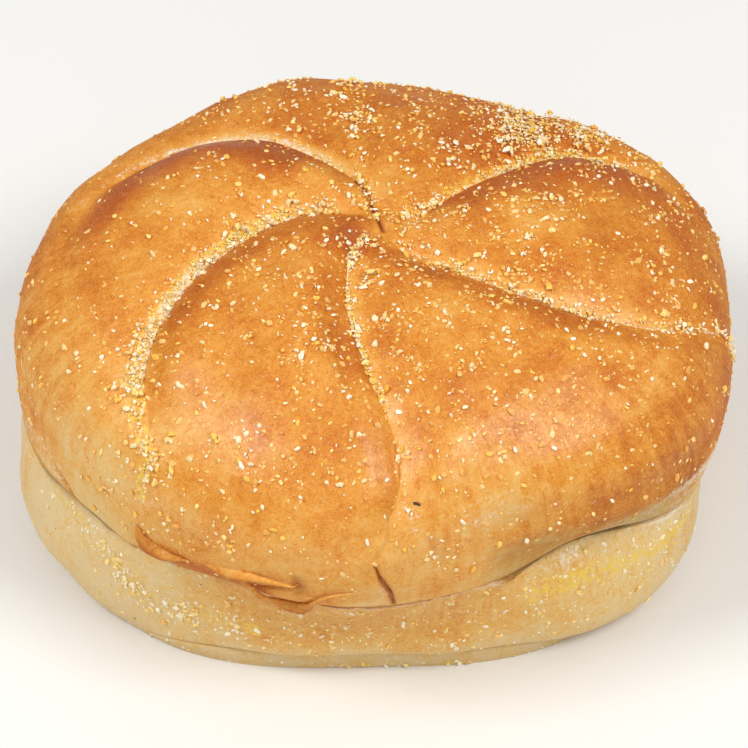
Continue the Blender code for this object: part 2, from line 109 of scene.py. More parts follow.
SWIRL_X, SWIRL_Y = 0.028, 0.049   # the swirl's centre off the dome's, as arcs
SWIRL_DIMPLE = 0.8            # mm
FOLD_BLEND = 4.0              # power of the mean that joins the folds' sinks

# Sides of a fold: share, width (mm) and power of the narrow groove, then share
# of the broad slope and its width as a share of the fold's.
LIP_SIDE = (0.55, 1.5, 1.5, 0.45, 0.75)
PALE_SIDE = (0.40, 2.6, 1.3, 0.60, 1.05)

# Grids: columns of each petal from fold to fold, and rows.
PETAL_COLUMNS = (58, 86, 78, 60, 84, 84)
LEAST_PETAL = 12.0            # degrees between two folds' columns at the swirl
COLUMN_CROWDING = 0.72        # how much closer the columns stand at the folds
CROWN_ROWS = 190
ROW_CROWDING = 0.10           # and the rows at the swirl and at the cut
CUT_ROWS = 6
HEEL_COLUMNS = 480
HEEL_STOPS = (0.0, 1.0, 1.8, 2.2, 3.0)   # ways: cut, widest, crease from and to, base
HEEL_ROWS = (44, 70, 8, 18)   # rows between those stops
BASE_ROWS = 4
CUT_BEVEL = 0.955             # share of the reach where a cut face turns up to its edge
CUT_MIDDLE = 0.12             # share at which its innermost ring lies
BASE_MIDDLE = 0.1             # and that of the base
SHARP_ANGLE = math.radians(66.0)   # edges that bend more are shaded sharp
DOME_STEPS, WALL_STEPS = 500, 90   # stations of the crown's profile

# The torn flap: its directions in degrees and its lift in mm.
FLAP_FROM, FLAP_TO, FLAP_LIFT = 228.0, 262.0, 0.6

# The right rim turns under: arc of its crease, first and last direction, and
# how far it goes in and comes back at the cut (mm).
RIM_CREASE, RIM_FROM, RIM_TO, RIM_UNDER, RIM_BACK = 1.235, 297.0, 326.0, 1.4, 1.0

# Short cracks and soft creases of the crown: from (direction, arc) to
# (direction, arc), half width and depth in mm, and how red-brown they are.
CROWN_MARKS = (
    ("swirl_crevice", (93.0, 0.215), (58.0, 0.062), 0.40, 0.40, 1.00),
    ("above_crevice", (101.0, 0.310), (94.0, 0.222), 0.50, 0.50, 1.00),
    ("beside_front_fold", (255.0, 0.36), (263.0, 0.58), 1.6, 0.45, 0.12),
    ("upper_crack", (274.6, 0.80), (275.4, 0.90), 0.46, 0.20, 0.30),
    ("front_crack", (273.0, 0.93), (273.2, 1.09), 0.46, 0.12, 0.28),
    ("front_crack_end", (273.2, 1.09), (271.0, 1.14), 0.40, 0.20, 0.12),
    ("tear_top", (270.9, 1.165), (271.8, 1.215), 0.26, 0.60, 0.70),
    ("tear_side", (271.8, 1.215), (273.7, 1.290), 0.50, 0.90, 0.80),
    ("tear_foot", (273.7, 1.290), (274.6, 1.375), 0.44, 0.90, 0.80),
    ("beside_tear", (281.0, 1.10), (283.0, 1.20), 0.7, 0.3, 0.20),
    ("left_pocket", (204.4, 1.335), (206.6, 1.385), 0.80, 1.2, 0.75),
    ("left_rim_line", (206.6, 1.385), (219.0, 1.405), 0.35, 0.3, 0.5),
    ("left_crease", (164.0, 0.93), (176.0, 0.86), 1.1, 0.35, 0.10),
    ("strand_groove", (249.5, 1.315), (258.0, 1.262), 0.42, 0.9, 0.55),
    ("strand_notch", (257.6, 1.22), (258.2, 1.30), 0.60, 1.0, 0.70),
)
PLANE_ARC = 0.3               # nearer the swirl than this they are laid out on a plane

# Flour along the folds: fold, amount, place and half width across it (mm),
# first and last way.
CROWN_FLOUR = (
    ("left_back", 0.26, -0.6, 0.40, 0.36, 0.62),
    ("left_back", 0.40, -1.2, 0.8, 0.46, 0.84),
    ("left_back", 0.16, -1.6, 2.0, 0.52, 0.80),
    # Along the left fold the pale strip is partly real flour and partly painted sheen.
    ("left", 0.66, -0.2, 0.60, 0.26, 0.82),
    ("left", 0.62, -1.3, 1.2, 0.52, 0.82),
    ("right_back", 0.30, 0.9, 0.40, 0.16, 0.62),
    ("right_back", 0.16, 1.2, 1.6, 0.40, 0.80),
    ("right", 0.52, 0.5, 0.45, 0.12, 1.05),
    ("front", 0.50, 0.3, 0.5, 0.10, 0.45),
)

# Meal along the folds: grains and fine meal for each square millimetre,
# place and half width across the fold (mm), first and last way, and dust.
MEAL_BANDS = {
    "right_back": (1.05, 2.4, 1.1, 1.6, 0.10, 0.74, 1.05),
    "back": (0.70, 1.0, 0.0, 1.7, 0.10, 0.85, 0.25),
    "left_back": (0.40, 0.6, -0.8, 1.3, 0.10, 0.72, 0.15),
    "left": (1.10, 3.8, -1.2, 2.0, 0.18, 1.14, 1.30),
    "front": (1.60, 4.5, 0.4, 1.1, 0.07, 0.66, 1.40),
    "right": (1.10, 2.4, 0.9, 1.3, 0.08, 1.15, 0.50),
}

# Lips of the folds, darker in colour: partly real browning, as crests brown
# more in the oven, and partly painted shade that deepens the relief. Amount,
# first and last way, and breadth.
BROWNED_AND_SHADED_LIPS = {
    "right_back": (0.30, 0.28, 0.80, 1.7),
    "left_back": (0.44, 0.44, 0.76, 1.7),
    "left": (0.30, 0.05, 0.62, 1.0),
    "front": (0.14, 0.05, 0.55, 1.0),
    "right": (0.28, 0.05, 0.60, 1.0),
}
DULL_LIPS = ("left_back", "right_back")   # the brush missed these
# Dough that stretched late and stayed pale: amount, first and last way.
STRETCHED = {"left_back": (0.34, 0.36, 0.72), "left": (0.26, 0.40, 0.86)}

# Torn crust at the front edge. Each piece has its browning and a row of
# stations: direction, height above the cut, half width, half thickness and
# outward push (mm).
TORN_CRUST = (
    ("torn_leaf", 0.52, (
        (226.6, 7.9, 0.08, 0.08, 0.3), (226.9, 6.8, 0.46, 0.22, 0.5), (227.3, 5.4, 0.95, 0.34, 0.7),
        (228.3, 4.0, 1.15, 0.40, 0.8), (230.0, 3.3, 1.00, 0.36, 0.7), (232.4, 3.5, 0.62, 0.26, 0.5),
        (236.0, 4.4, 0.10, 0.10, 0.2))),
    ("upper_strand", 0.44, (
        (240.5, 6.2, 0.10, 0.10, 0.1), (244.6, 6.8, 0.95, 0.36, 0.3), (248.4, 7.6, 0.74, 0.34, 0.6),
        (251.8, 7.9, 0.46, 0.28, 0.7), (255.0, 7.7, 0.28, 0.20, 0.7), (257.4, 6.9, 0.10, 0.10, 0.5))),
    ("lower_strand", 0.42, (
        (246.6, 6.6, 0.10, 0.10, 0.2), (248.3, 5.2, 0.34, 0.28, 0.6), (249.9, 2.9, 0.44, 0.32, 0.9),
        (251.9, 0.1, 0.50, 0.36, 1.0), (254.8, -0.8, 0.84, 0.42, 0.8), (257.8, -0.3, 0.78, 0.42, 0.8),
        (259.8, 2.8, 0.42, 0.30, 0.7), (261.8, 5.0, 0.26, 0.22, 0.5), (264.4, 6.1, 0.20, 0.18, 0.4),
        (267.2, 6.4, 0.06, 0.06, 0.2))),
)
TORN_ROWS, TORN_COLUMNS = 90, 20
TORN_FLARE = math.radians(38.0)   # how far the torn pieces' lower edges stand out
TORN_SEED = 51                # of their uneven edges

# Pale stretch marks of the heel below the torn strands, like the crown's
# marks: from (direction, way) to (direction, way), half width and sink in mm.
HEEL_MARKS = (
    ((256.0, 0.24), (249.0, 1.20), 0.35, 0.15),
    ((258.0, 0.30), (254.5, 0.95), 0.30, 0.12),
    ((262.0, 0.35), (266.0, 0.80), 0.35, 0.12),
)

# Burnt specks: half of the roll, direction, arc or way, and length in mm.
DARK_SPECKS = (
    ("crown", 278.0, 1.012, 1.15),
    ("heel", 204.2, 0.635, 0.40),
    ("heel", 221.2, 1.490, 0.50),
    ("heel", 265.0, 2.140, 0.55),
    ("heel", 235.5, 0.300, 0.40),
    ("heel", 239.5, 0.420, 0.35),
)

# Cornmeal: the layers of grains and the kinds, with their colours.
CHIPS, GLAZED, FINE = range(3)
GLAZED_KIND = 2               # its place among the kinds
GRAIN_KINDS = (
    ("cream_cornmeal", ((0.0, "#EBCF92"), (0.5, "#F8E6BC"), (1.0, "#FFF8E2"))),
    ("golden_cornmeal", ((0.0, "#EDB546"), (0.5, "#F6CC62"), (1.0, "#FBE298"))),
    ("glazed_cornmeal", ((0.0, "#E8A54C"), (0.5, "#F1BD6A"), (1.0, "#F8D896"))),
)
CROWN_TRIES, HEEL_TRIES = 90000, 40000
STEP_AROUND = 0.006           # radians, to find how the crust lies under a grain
CROWN_STEP, HEEL_STEP, SPECK_STEP = 0.003, 0.01, 0.004   # and arcs or ways down it
FIRST_ARC, LAST_ARC_SHARE = 0.03, 0.955   # where grains may lie on the crown
FIRST_WAY, LAST_WAY = 0.03, 2.98          # and on the heel
CROWN_SPREAD, HEEL_SPREAD = 0.92, 2.92    # about how much of the arc that is, and how many ways
HEEL_LENGTHS = (11.0, 12.0, 3.9)   # mm down the heel for each unit of way, part by part
SMALLEST_GRAIN = 0.30         # mm
TABLE_CLEAR = 0.02 * MM       # no grain lies lower than this

# The stage: the camera looks at a point on the roll's axis, moved to frame it
# as the photo does, and the photo is 748 pixels wide.
SENSOR = 36.0                 # mm
PHOTO_PIXELS = 748.0
RADIUS_PIXELS = 343.3         # RADIUS in those pixels
CAMERA_RADII = 12.0           # the camera's distance by RADIUS
CAMERA_TILT = -0.34           # degrees about its own axis
AIM_HEIGHT, AIM_RIGHT, AIM_UP = 0.45 * RADIUS, 0.47 * MM, 1.16 * MM
FLOOR_HALF, FLOOR_DROP = 3.0, 0.02 * MM
ROOM_SIDE, ROOM_TOP = 0.08, 0.70   # strength of the room's light from the side and from above
LAMP_WAY = 0.9                # metres from the roll
# Lamps: direction and elevation (degrees), size (metres) and power (watts).
LAMPS = (
    ("softbox_right", -31.0, 53.0, 0.32, 3.6),
    ("softbox_left", 199.0, 53.0, 0.32, 3.3),
    ("front_fill", 266.0, 22.0, 0.80, 1.0),
)


def smooth(x):
    """Rise from 0 to 1, flat at both ends, as x goes from 0 to 1: 3x^2 - 2x^3."""
    x = np.clip(x, 0.0, 1.0)
    return x * x * (3.0 - 2.0 * x)


def wrap(angle):
    """Bring an angle in radians between -pi and pi."""
    return (angle + math.pi) % (2.0 * math.pi) - math.pi


def in_degrees(azimuth):
    """Direction in degrees from 0 to 360."""
    return np.degrees(azimuth % (2.0 * math.pi))


def bell(x, centre, width):
    """1 at the centre and 0 far from it: exp(-((x - centre) / width)^2)."""
    return np.exp(-((x - centre) / width) ** 2)


def near(azimuth, centre, width):
    """Bell around a direction; centre and width are in degrees."""
    return bell(np.degrees(wrap(azimuth - math.radians(centre))), 0.0, width)


def between(x, low, high, soft):
    """1 from low to high with soft ends of the given width outside them."""
    return smooth((x - low + soft) / soft) * smooth((high + soft - x) / soft)


def patched(value, patches, azimuth, way):
    """Value plus patches of the crust: amount times a window in direction
    times a window in way. A window of two numbers is a bell (centre, width),
    and one of three is a band (first, last, softness)."""
    degrees = in_degrees(azimuth)
    for amount, around, along in patches:
        there = near(azimuth, *around) if len(around) == 2 else between(degrees, *around)
        reach = bell(way, *along) if len(along) == 2 else between(way, *along)
        value = value + amount * there * reach
    return value


def at_reach(radius, azimuth, height):
    """Points at a reach and direction from the roll's axis, and a height."""
    return np.stack([radius * np.cos(azimuth), radius * np.sin(azimuth), height], -1)


def unit(vectors):
    """The vectors, each brought to a length of 1."""
    return vectors / np.linalg.norm(vectors, axis=-1, keepdims=True)


def lobes(azimuth, parts):
    """Sum of cosine lobes, each with a count, a share and a direction."""
    total = 0.0 * azimuth
    for count, share, direction in parts:
        total = total + share * np.cos(count * (azimuth - math.radians(direction)))
    return total


def lattice(cells, seed):
    """A repeatable number from 0 to 1 for whole-number cells (x, y, z): their
    bits are mixed by large odd numbers and shifts."""
    mixed = cells[..., 0] * 374761393 + cells[..., 1] * 668265263 + cells[..., 2] * 2147483647 + seed * 974711
    mixed = (mixed ^ (mixed >> 13)) * 1274126177
    mixed = mixed ^ (mixed >> 16)
    return (mixed & 0xFFFFFF) / float(0xFFFFFF)


def unevenness(points_mm, size_mm, seed):
    """Smooth noise from -1 to 1: lattice values blended across each cell."""
    scaled = points_mm / size_mm
    low = np.floor(scaled).astype(np.int64)
    way = smooth(scaled - low)
    total = 0.0
    for corner in range(8):
        step = np.array([corner & 1, (corner >> 1) & 1, (corner >> 2) & 1])
        share = np.prod(np.where(step == 1, way, 1.0 - way), axis=-1)
        total = total + share * lattice(low + step, seed)
    return 2.0 * total - 1.0


def front_share(azimuth):
    """1 around the front half of the roll, 0 around the back half."""
    return smooth(0.5 - 0.9 * np.sin(azimuth))


def uneven(azimuth, parts, front_parts):
    """Lobes all around the roll and others that only its front has."""
    return lobes(azimuth, parts) + front_share(azimuth) * lobes(azimuth, front_parts)


def crown_outline(azimuth):
    """Half width of the crown at its widest level."""
    return RADIUS * (1.0 + lobes(azimuth, CROWN_LOBES))


def heel_outline(azimuth):
    """Half width of the heel at its widest level."""
    return RADIUS * (HEEL_SHARE + uneven(azimuth, HEEL_LOBES, HEEL_FRONT_LOBES))


def seam_outline(azimuth):
    """Half width of both halves at the cut."""
    inset = SEAM_INSET + uneven(azimuth, SEAM_LOBES, SEAM_FRONT_LOBES)
    return heel_outline(azimuth) * (1.0 - np.maximum(inset, 0.0))


def base_outline(azimuth):
    """Half width of the flat base."""
    return RADIUS * BASE_SHARE * (1.0 + uneven(azimuth, BASE_LOBES, BASE_FRONT_LOBES))


def foot_height(azimuth):
    """Height of the upright foot, which fades out away from the front."""
    off = np.abs(np.degrees(wrap(azimuth - math.radians(270.0))))
    return FOOT_HEIGHT * smooth((1.0 - off / 60.0) / 0.6)


def seam_rise(azimuth, parts):
    """Rise in metres at the cut: a sum of bells around the roll."""
    return MM * sum(rise * near(azimuth, centre, width) for rise, centre, width in parts)


def crown_profile():
    """Arc, reach and height from the swirl down to the cut, by RADIUS: a
    superellipse dome, then straight down to the cut."""
    top, cut, drop = HEIGHT / RADIUS, CUT_HEIGHT / RADIUS, CROWN_DROP / RADIUS
    angle = np.linspace(math.pi / 2.0, 0.0, DOME_STEPS)
    reach = np.cos(angle).clip(0.0) ** (2.0 / DOME_POWER)
    height = cut + drop + (top - cut - drop) * np.sin(angle) ** (2.0 / DOME_POWER)
    down = np.linspace(0.0, 1.0, WALL_STEPS)[1:]
    reach = np.concatenate([reach, np.ones(down.size)])
    height = np.concatenate([height, cut + drop * (1.0 - down)])
    arc = np.concatenate([[0.0], np.cumsum(np.hypot(np.diff(reach), np.diff(height)))])
    return arc, reach, height


PROFILE_ARC, PROFILE_REACH, PROFILE_HEIGHT = crown_profile()
FULL_ARC = PROFILE_ARC[-1]


def crust_place(direction, way):
    """Direction and arc about the dome's top of a place given about the
    swirl; the offset fades out to nothing at the cut, as 1 - (way / full)^2."""
    fade = 1.0 - (way / FULL_ARC) ** 2
    x = way * np.cos(direction) + SWIRL_X * fade
    y = way * np.sin(direction) + SWIRL_Y * fade
    return np.arctan2(y, x) % (2.0 * math.pi), np.hypot(x, y)


def fold_azimuth(fold, way):
    """Direction of a fold's bottom: start + turn t + curl t^6 + hook e^-w/h."""
    share = np.clip(way / fold.reach, 0.0, 1.0)
    hooked = fold.hook * np.exp(-way / HOOK_REACH)
    return np.radians(fold.start + fold.turn * share + fold.curl * share ** 6 + hooked)


def fold_slope(fold, way):
    """Turn of a fold's direction for each unit of way, in radians."""
    share = np.clip(way / fold.reach, 0.0, 1.0)
    hooked = np.radians(fold.hook) * np.exp(-way / HOOK_REACH) / HOOK_REACH
    return np.radians(fold.turn + 6.0 * fold.curl * share ** 5) / fold.reach * (way < fold.reach) - hooked


def fold_grow(fold, way):
    """Length of a fold for each unit of way: sqrt(1 + (way slope)^2)."""
    return np.sqrt(1.0 + (way * fold_slope(fold, way)) ** 2)


def fold_distance(fold, direction, way):
    """Distance across a fold in mm, positive counterclockwise of it; on the
    far side of the swirl it is the distance to the swirl."""
    off = np.clip(wrap(direction - fold_azimuth(fold, way)), -math.pi / 2.0, math.pi / 2.0)
    return RADIUS / MM * way * np.sin(off) / fold_grow(fold, way)


def fold_side(fold, direction, way):
    """1 on the fold's own side of the swirl, 0 on the side behind it."""
    off = np.abs(wrap(direction - fold_azimuth(fold, way)))
    return 1.0 - smooth((off - 1.5) / 1.2)


def fold_ends(fold, way):
    """How strong a fold is: weaker at the swirl and 0 past its reach."""
    return (0.30 + 0.70 * smooth(way / 0.14)) * (1.0 - smooth((way - fold.reach + 0.30) / 0.34))


def fold_shape(side, broad, form):
    """Sink beside a fold, from 0 to 1, at a distance in mm: a narrow groove
    share exp(-(distance / width)^power) and a broad bell."""
    groove, width, power, slope, spread = form
    apart = np.sqrt(side ** 2 + GROOVE_ROUND ** 2) - GROOVE_ROUND
    return groove * np.exp(-(apart / width) ** power) + slope * bell(side, 0.0, spread * broad)


def fold_reliefs(direction, way):
    """Sink of the crust in mm and sideways roll of the lips in radians.

    Each fold has a narrow bottom, a steep plump lip on one side that rolls
    over the bottom, and a long gentle slope on the pale side. The folds' sinks
    are joined by a power mean, so that they don't add up at the swirl."""
    total, rise, roll = (0.0 * direction * way for _ in range(3))
    for fold in FOLDS:
        own = fold_side(fold, direction, way)
        ends = fold_ends(fold, way)
        side = fold_distance(fold, direction, way) * (fold.lip or 1)
        steep = fold_shape(side, fold.broad, LIP_SIDE)
        gentle = fold_shape(side, fold.broad, PALE_SIDE)
        middle = 0.5 * (steep + gentle)
        shape = np.where(side > 0.0, steep, gentle) if fold.lip else gentle
        shape = middle + (shape - middle) * own
        total = total + (fold.depth * ends * shape) ** FOLD_BLEND
        if fold.lip:
            rise = rise + 0.10 * fold.depth * ends * own * bell(side, 5.0, 2.6) * smooth(way / 0.25)
            shift = 1.1 * bell(side, 1.1, 1.2) * ends * own * smooth((way - 0.10) / 0.15)
            roll = roll - fold.lip * shift * MM * fold_grow(fold, way) / (RADIUS * np.maximum(way, 0.05))
    return rise - total ** (1.0 / FOLD_BLEND) - SWIRL_DIMPLE * bell(way, 0.0, 0.06), roll


def line_way(x, y, end_x, end_y):
    """Distance to a straight line from 0, 0 to its end, and the share along it."""
    along = np.clip((x * end_x + y * end_y) / (end_x ** 2 + end_y ** 2), 0.0, 1.0)
    return np.hypot(x - along * end_x, y - along * end_y), along


def mark_way(azimuth, arc, first, last):
    """Distance in mm to a straight line on the crown, and the share along it.
    Near the top the crust is taken as a plane, elsewhere as a cylinder."""
    radius = RADIUS / MM
    turn, end = math.radians(first[0]), math.radians(last[0] - first[0])
    if first[1] < PLANE_ARC:
        x, y = radius * (arc * np.cos(azimuth - turn) - first[1]), radius * arc * np.sin(azimuth - turn)
        return line_way(x, y, radius * (last[1] * math.cos(end) - first[1]), radius * last[1] * math.sin(end))
    reach = np.interp(arc, PROFILE_ARC, PROFILE_REACH) * radius
    return line_way(wrap(azimuth - turn) * reach, (arc - first[1]) * radius,
                    wrap(end) * reach, (last[1] - first[1]) * radius)


def heel_mark_way(azimuth, way, first, last):
    """Distance in mm to a straight line on the heel, and the share along it."""
    across, down = HEEL_SHARE * RADIUS / MM, HEEL_LENGTHS[0]
    return line_way(wrap(azimuth - math.radians(first[0])) * across, (way - first[1]) * down,
                    math.radians(last[0] - first[0]) * across, (last[1] - first[1]) * down)


def crown_marks(azimuth, arc):
    """Sink in mm and redness of the short cracks and soft creases: a bell
    across each, which is widest about the middle of its length."""
    sink, red = 0.0 * azimuth, 0.0 * azimuth
    for _, first, last, half, depth, redness in CROWN_MARKS:
        apart, along = mark_way(azimuth, arc, first, last)
        width = half * (0.45 + 0.55 * np.sin(math.pi * np.clip(0.15 + 0.75 * along, 0.0, 1.0)))
        sink = sink - depth * bell(apart, 0.0, width)
        red = np.maximum(red, redness * bell(apart, 0.0, 1.25 * width))
    return sink, red


def dough_swell(points):
    """Broad, shallow unevenness of the dough in mm at points in space: two
    products of sine waves, about 40 and 16 mm long."""
    x, y, z = points[..., 0] / MM, points[..., 1] / MM, points[..., 2] / MM
    wide = np.sin(0.16 * x + 0.05 * y + 1.1) * np.sin(0.13 * y - 0.09 * x + 0.4)
    small = np.sin(0.33 * x - 0.21 * z + 2.0) * np.sin(0.29 * y + 0.27 * z + 0.7)
    return 0.35 * wide + 0.18 * small


def flap_lift(azimuth, level):
    """Outward push of the torn flap in mm; level is 0 at the cut, 1 above it."""
    first, last = math.radians(FLAP_FROM), math.radians(FLAP_TO)
    way = wrap(azimuth - first) / (last - first)
    along = smooth(way / 0.12) * (1.0 - smooth((way - 0.75) / 0.25))
    edge = smooth((level + 0.02) / 0.06) * (1.0 - smooth((level - 0.16) / 0.34))
    return FLAP_LIFT * along * np.where(level < 0.02, 1.0, edge)


def rim_fold(azimuth, arc):
    """Tuck of the right rim in mm, and how far a place is below its crease: a
    groove at the crease, a lip above it, and crust that turns under below."""
    degrees = in_degrees(azimuth)
    crease = RIM_CREASE + 0.02 * np.cos(3.0 * azimuth) + 0.01 * smooth((degrees - 312.0) / 20.0)
    there = between(degrees, RIM_FROM, RIM_TO, 9.0)
    apart = (arc - crease) * RADIUS / MM
    groove = 0.5 * bell(apart, 0.0, 0.8)
    lip = -0.5 * bell(apart, -2.2, 1.6)
    under = RIM_UNDER * smooth(apart / 3.0) - RIM_BACK * smooth((arc - 1.30) / 0.09)
    return -there * (groove + lip + under), there * smooth((apart + 0.5) / 1.0)


def crown_surface(direction, way):
    """Points of the crown's crust at a direction and an arc about the swirl.

    A superellipse dome scaled to the outline, tucked in to the seam below its
    widest level, then moved along its own normal by the folds, the swell of
    the dough, the torn places and fine unevenness."""
    sink, roll = fold_reliefs(direction, way)
    azimuth, arc = crust_place(direction + roll, way)
    out = np.interp(arc, PROFILE_ARC, PROFILE_REACH)
    up = np.interp(arc, PROFILE_ARC, PROFILE_HEIGHT)
    lean_out = -np.interp(arc, PROFILE_ARC, np.gradient(PROFILE_HEIGHT, PROFILE_ARC))
    lean_up = np.interp(arc, PROFILE_ARC, np.gradient(PROFILE_REACH, PROFILE_ARC))
    level = (up - CUT_HEIGHT / RADIUS) / (CROWN_DROP / RADIUS)
    below = (1.0 - level).clip(0.0, 1.0)
    tuck = np.maximum(crown_outline(azimuth) - seam_outline(azimuth), 0.0)
    radius = out * crown_outline(azimuth) - tuck * below ** 2
    rise = up * RADIUS
    rough = at_reach(radius, azimuth, rise + 0.0 * radius)
    calm = 1.0 - smooth((arc / FULL_ARC - 0.90) / 0.10)
    marks, _ = crown_marks(azimuth, arc)
    tuck_under, _ = rim_fold(azimuth, arc)
    fine = 0.16 * unevenness(rough / MM, 5.0, 3) + 0.07 * unevenness(rough / MM, 2.2, 5)
    relief = (sink + dough_swell(rough) * calm + marks + tuck_under + fine) * MM
    radius = radius + lean_out * relief + flap_lift(azimuth, level) * MM
    knife = seam_rise(azimuth, SEAM_WAVES) + seam_rise(azimuth, SEAM_GAPES)
    return at_reach(radius, azimuth, rise + lean_up * relief + knife * below ** 1.5)


def heel_surface(azimuth, way):
    """Points of the heel's side; way is 0 at the cut, 1 at the widest level,
    2 at the crease above the foot and 3 at the base. The lower side is a
    quarter of a superellipse between the widest outline and the base, and a
    thin lip stands up and out along parts of the cut."""
    widest, seam, base = heel_outline(azimuth), seam_outline(azimuth), base_outline(azimuth)
    widest = widest - FRONT_FLAT * near(azimuth, 272.0, 24.0)
    foot = foot_height(azimuth)
    top = CUT_HEIGHT - CUT_GAP
    upper = (1.0 - way).clip(0.0, 1.0)
    turn = (way - 1.0).clip(0.0, 1.0) * math.pi / 2.0
    wall = (way - 2.0).clip(0.0, 1.0)
    radius = base + (widest - base) * np.cos(turn).clip(0.0) ** (2.0 / HEEL_POWER)
    radius = radius - (widest - seam) * upper ** 2
    radius = radius - FOOT_CREASE * foot / FOOT_HEIGHT * bell(way, 2.0, 0.10) - BASE_TUCK * wall ** 2
    fall = (HEEL_WIDEST - foot - BASE_ROUND) * np.sin(turn) ** (2.0 / HEEL_POWER)
    height = HEEL_WIDEST + (top - HEEL_WIDEST) * upper - fall - (foot + BASE_ROUND) * wall
    point = at_reach(radius, azimuth, height)
    calm = smooth(way / 0.3) * (1.0 - smooth((way - 1.8) / 0.2))
    fine = 0.14 * unevenness(point / MM, 6.0, 11) + 0.06 * unevenness(point / MM, 2.5, 13)
    ragged = 0.30 * unevenness(point / MM, 1.6, 17) * smooth(1.0 - way / 0.12)
    for first, last, half, sink in HEEL_MARKS:
        apart, along = heel_mark_way(azimuth, way, first, last)
        fine = fine - sink * bell(apart, 0.0, half * (1.0 + along))
    radius = radius + (dough_swell(point) * calm + (fine + ragged) * smooth(3.0 - way)) * MM
    degrees = in_degrees(azimuth)
    lip = between(degrees, 259.0, 296.0, 6.0) + between(degrees, 325.0, 340.0, 5.0)
    lip = lip * smooth(1.0 - way / 0.1) * MM
    height = height + seam_rise(azimuth, SEAM_WAVES) * upper ** 1.5 + 0.72 * lip
    return at_reach(radius + 0.62 * lip, azimuth, height)


def side_point(azimuth, rise_mm, out_mm):
    """Point on the roll's side at a height above the cut, pushed outward:
    the crown's above the cut and the heel's below it, blended over 1.6 mm."""
    crown = crown_surface(azimuth, FULL_ARC - rise_mm.clip(0.0) * MM / RADIUS)
    heel = heel_surface(azimuth, (-rise_mm).clip(0.0) * MM / (CUT_HEIGHT - CUT_GAP - HEEL_WIDEST))
    share = smooth((rise_mm + 0.8) / 1.6)[..., None]
    outward = at_reach(1.0, azimuth, 0.0 * azimuth)
    return crown * share + heel * (1.0 - share) + outward * (out_mm * MM)[..., None], outward


# ---- Baking colour, flour, painted sheen, painted shade and cornmeal over the crust ---
# Patches, as the function patched takes them: amount, window in direction,
# window in arc or way. A window that is open at one side ends off the roll.
ALL_ROUND, START, END = (-1.0, 361.0, 1.0), -9.0, 9.0
SEAM_EDGE = FULL_ARC - 0.004

CROWN_PATCHES = {
    "brown": (
        (-0.20, (212.0, 292.0, 22.0), (1.17, END, 0.45)),
        (-0.18, (184.0, 216.0, 18.0), (1.17, END, 0.45)),
        (0.12, ALL_ROUND, (1.05, END, 0.25)),
        (-0.12, (150.0, 335.0, 25.0), (1.05, END, 0.25)),
        (0.09, (135.0, 200.0, 15.0), (1.10, END, 0.2)),
        (0.10, (52.0, 20.0), (0.30, 0.80, 0.1)),
        (-0.10, (118.0, 14.0), (0.75, 1.0, 0.1)),
        (0.14, (58.0, 128.0, 14.0), (0.44, 0.90, 0.14)),
        (0.10, (47.0, 17.0), (0.60, 0.14)),
        (-0.12, (18.0, 16.0), (0.46, 0.16)),
        (0.06, (340.0, 18.0), (1.05, END, 0.2)),
        (-0.06, (288.0, 14.0), (0.95, 1.25, 0.12)),
        (-0.30, (323.0, 345.0, 6.0), (1.30, END, 0.06)),
        (-0.10, ALL_ROUND, (1.39, END, 0.12)),
        (0.10, (228.0, 262.0, 5.0), (1.39, END, 0.12)),
        (0.42, (231.0, 251.0, 3.0), (1.315, 1.46, 0.05)),
        (0.12, (258.0, 300.0, 5.0), (1.385, 1.44, 0.02)),
    ),
    "flour_and_sheen": (
        # Painted highlight: a pale streak along the crown's lower left edge, laid in as flour.
        (0.38, (184.0, 205.0, 4.0), (1.30, 1.37, 0.04)),
        # Painted sheen: pale streaks of highlight low on the front right, laid in as flour.
        (0.34, (293.0, 9.0), (1.09, 0.05)),
        (0.32, (277.5, 4.0), (1.04, 0.06)),
        # Painted sheen: pale streaks of highlight low on the front left, laid in as flour.
        (0.32, (229.0, 6.0), (1.13, 0.06)),
        (0.30, (272.2, 1.3), (1.25, 1.36, 0.03)),
        (0.62, (319.0, 340.0, 4.0), (1.27, 0.024)),
        (0.40, (316.0, 340.0, 4.0), (1.32, END, 0.1)),
    ),
    # Painted shade: under the right rim, and along the cut edge in the seam's gap except at the torn front.
    "shade": (
        (0.26, (300.0, 330.0, 12.0), (1.16, END, 0.14)),
        (0.60, (299.0, 322.0, 4.0), (SEAM_EDGE, END, 0.014)),
        (0.45, ALL_ROUND, (SEAM_EDGE, END, 0.012)),
        (-0.45, (228.0, 300.0, 4.0), (SEAM_EDGE, END, 0.012)),
    ),
    # On the crown's lower left the wrinkles' pale streaks are partly real stretch marks and partly painted
    # streaky highlights.
    "wrinkle": ((0.70, (176.0, 212.0, 12.0), (1.0, END, 0.2)),),
}
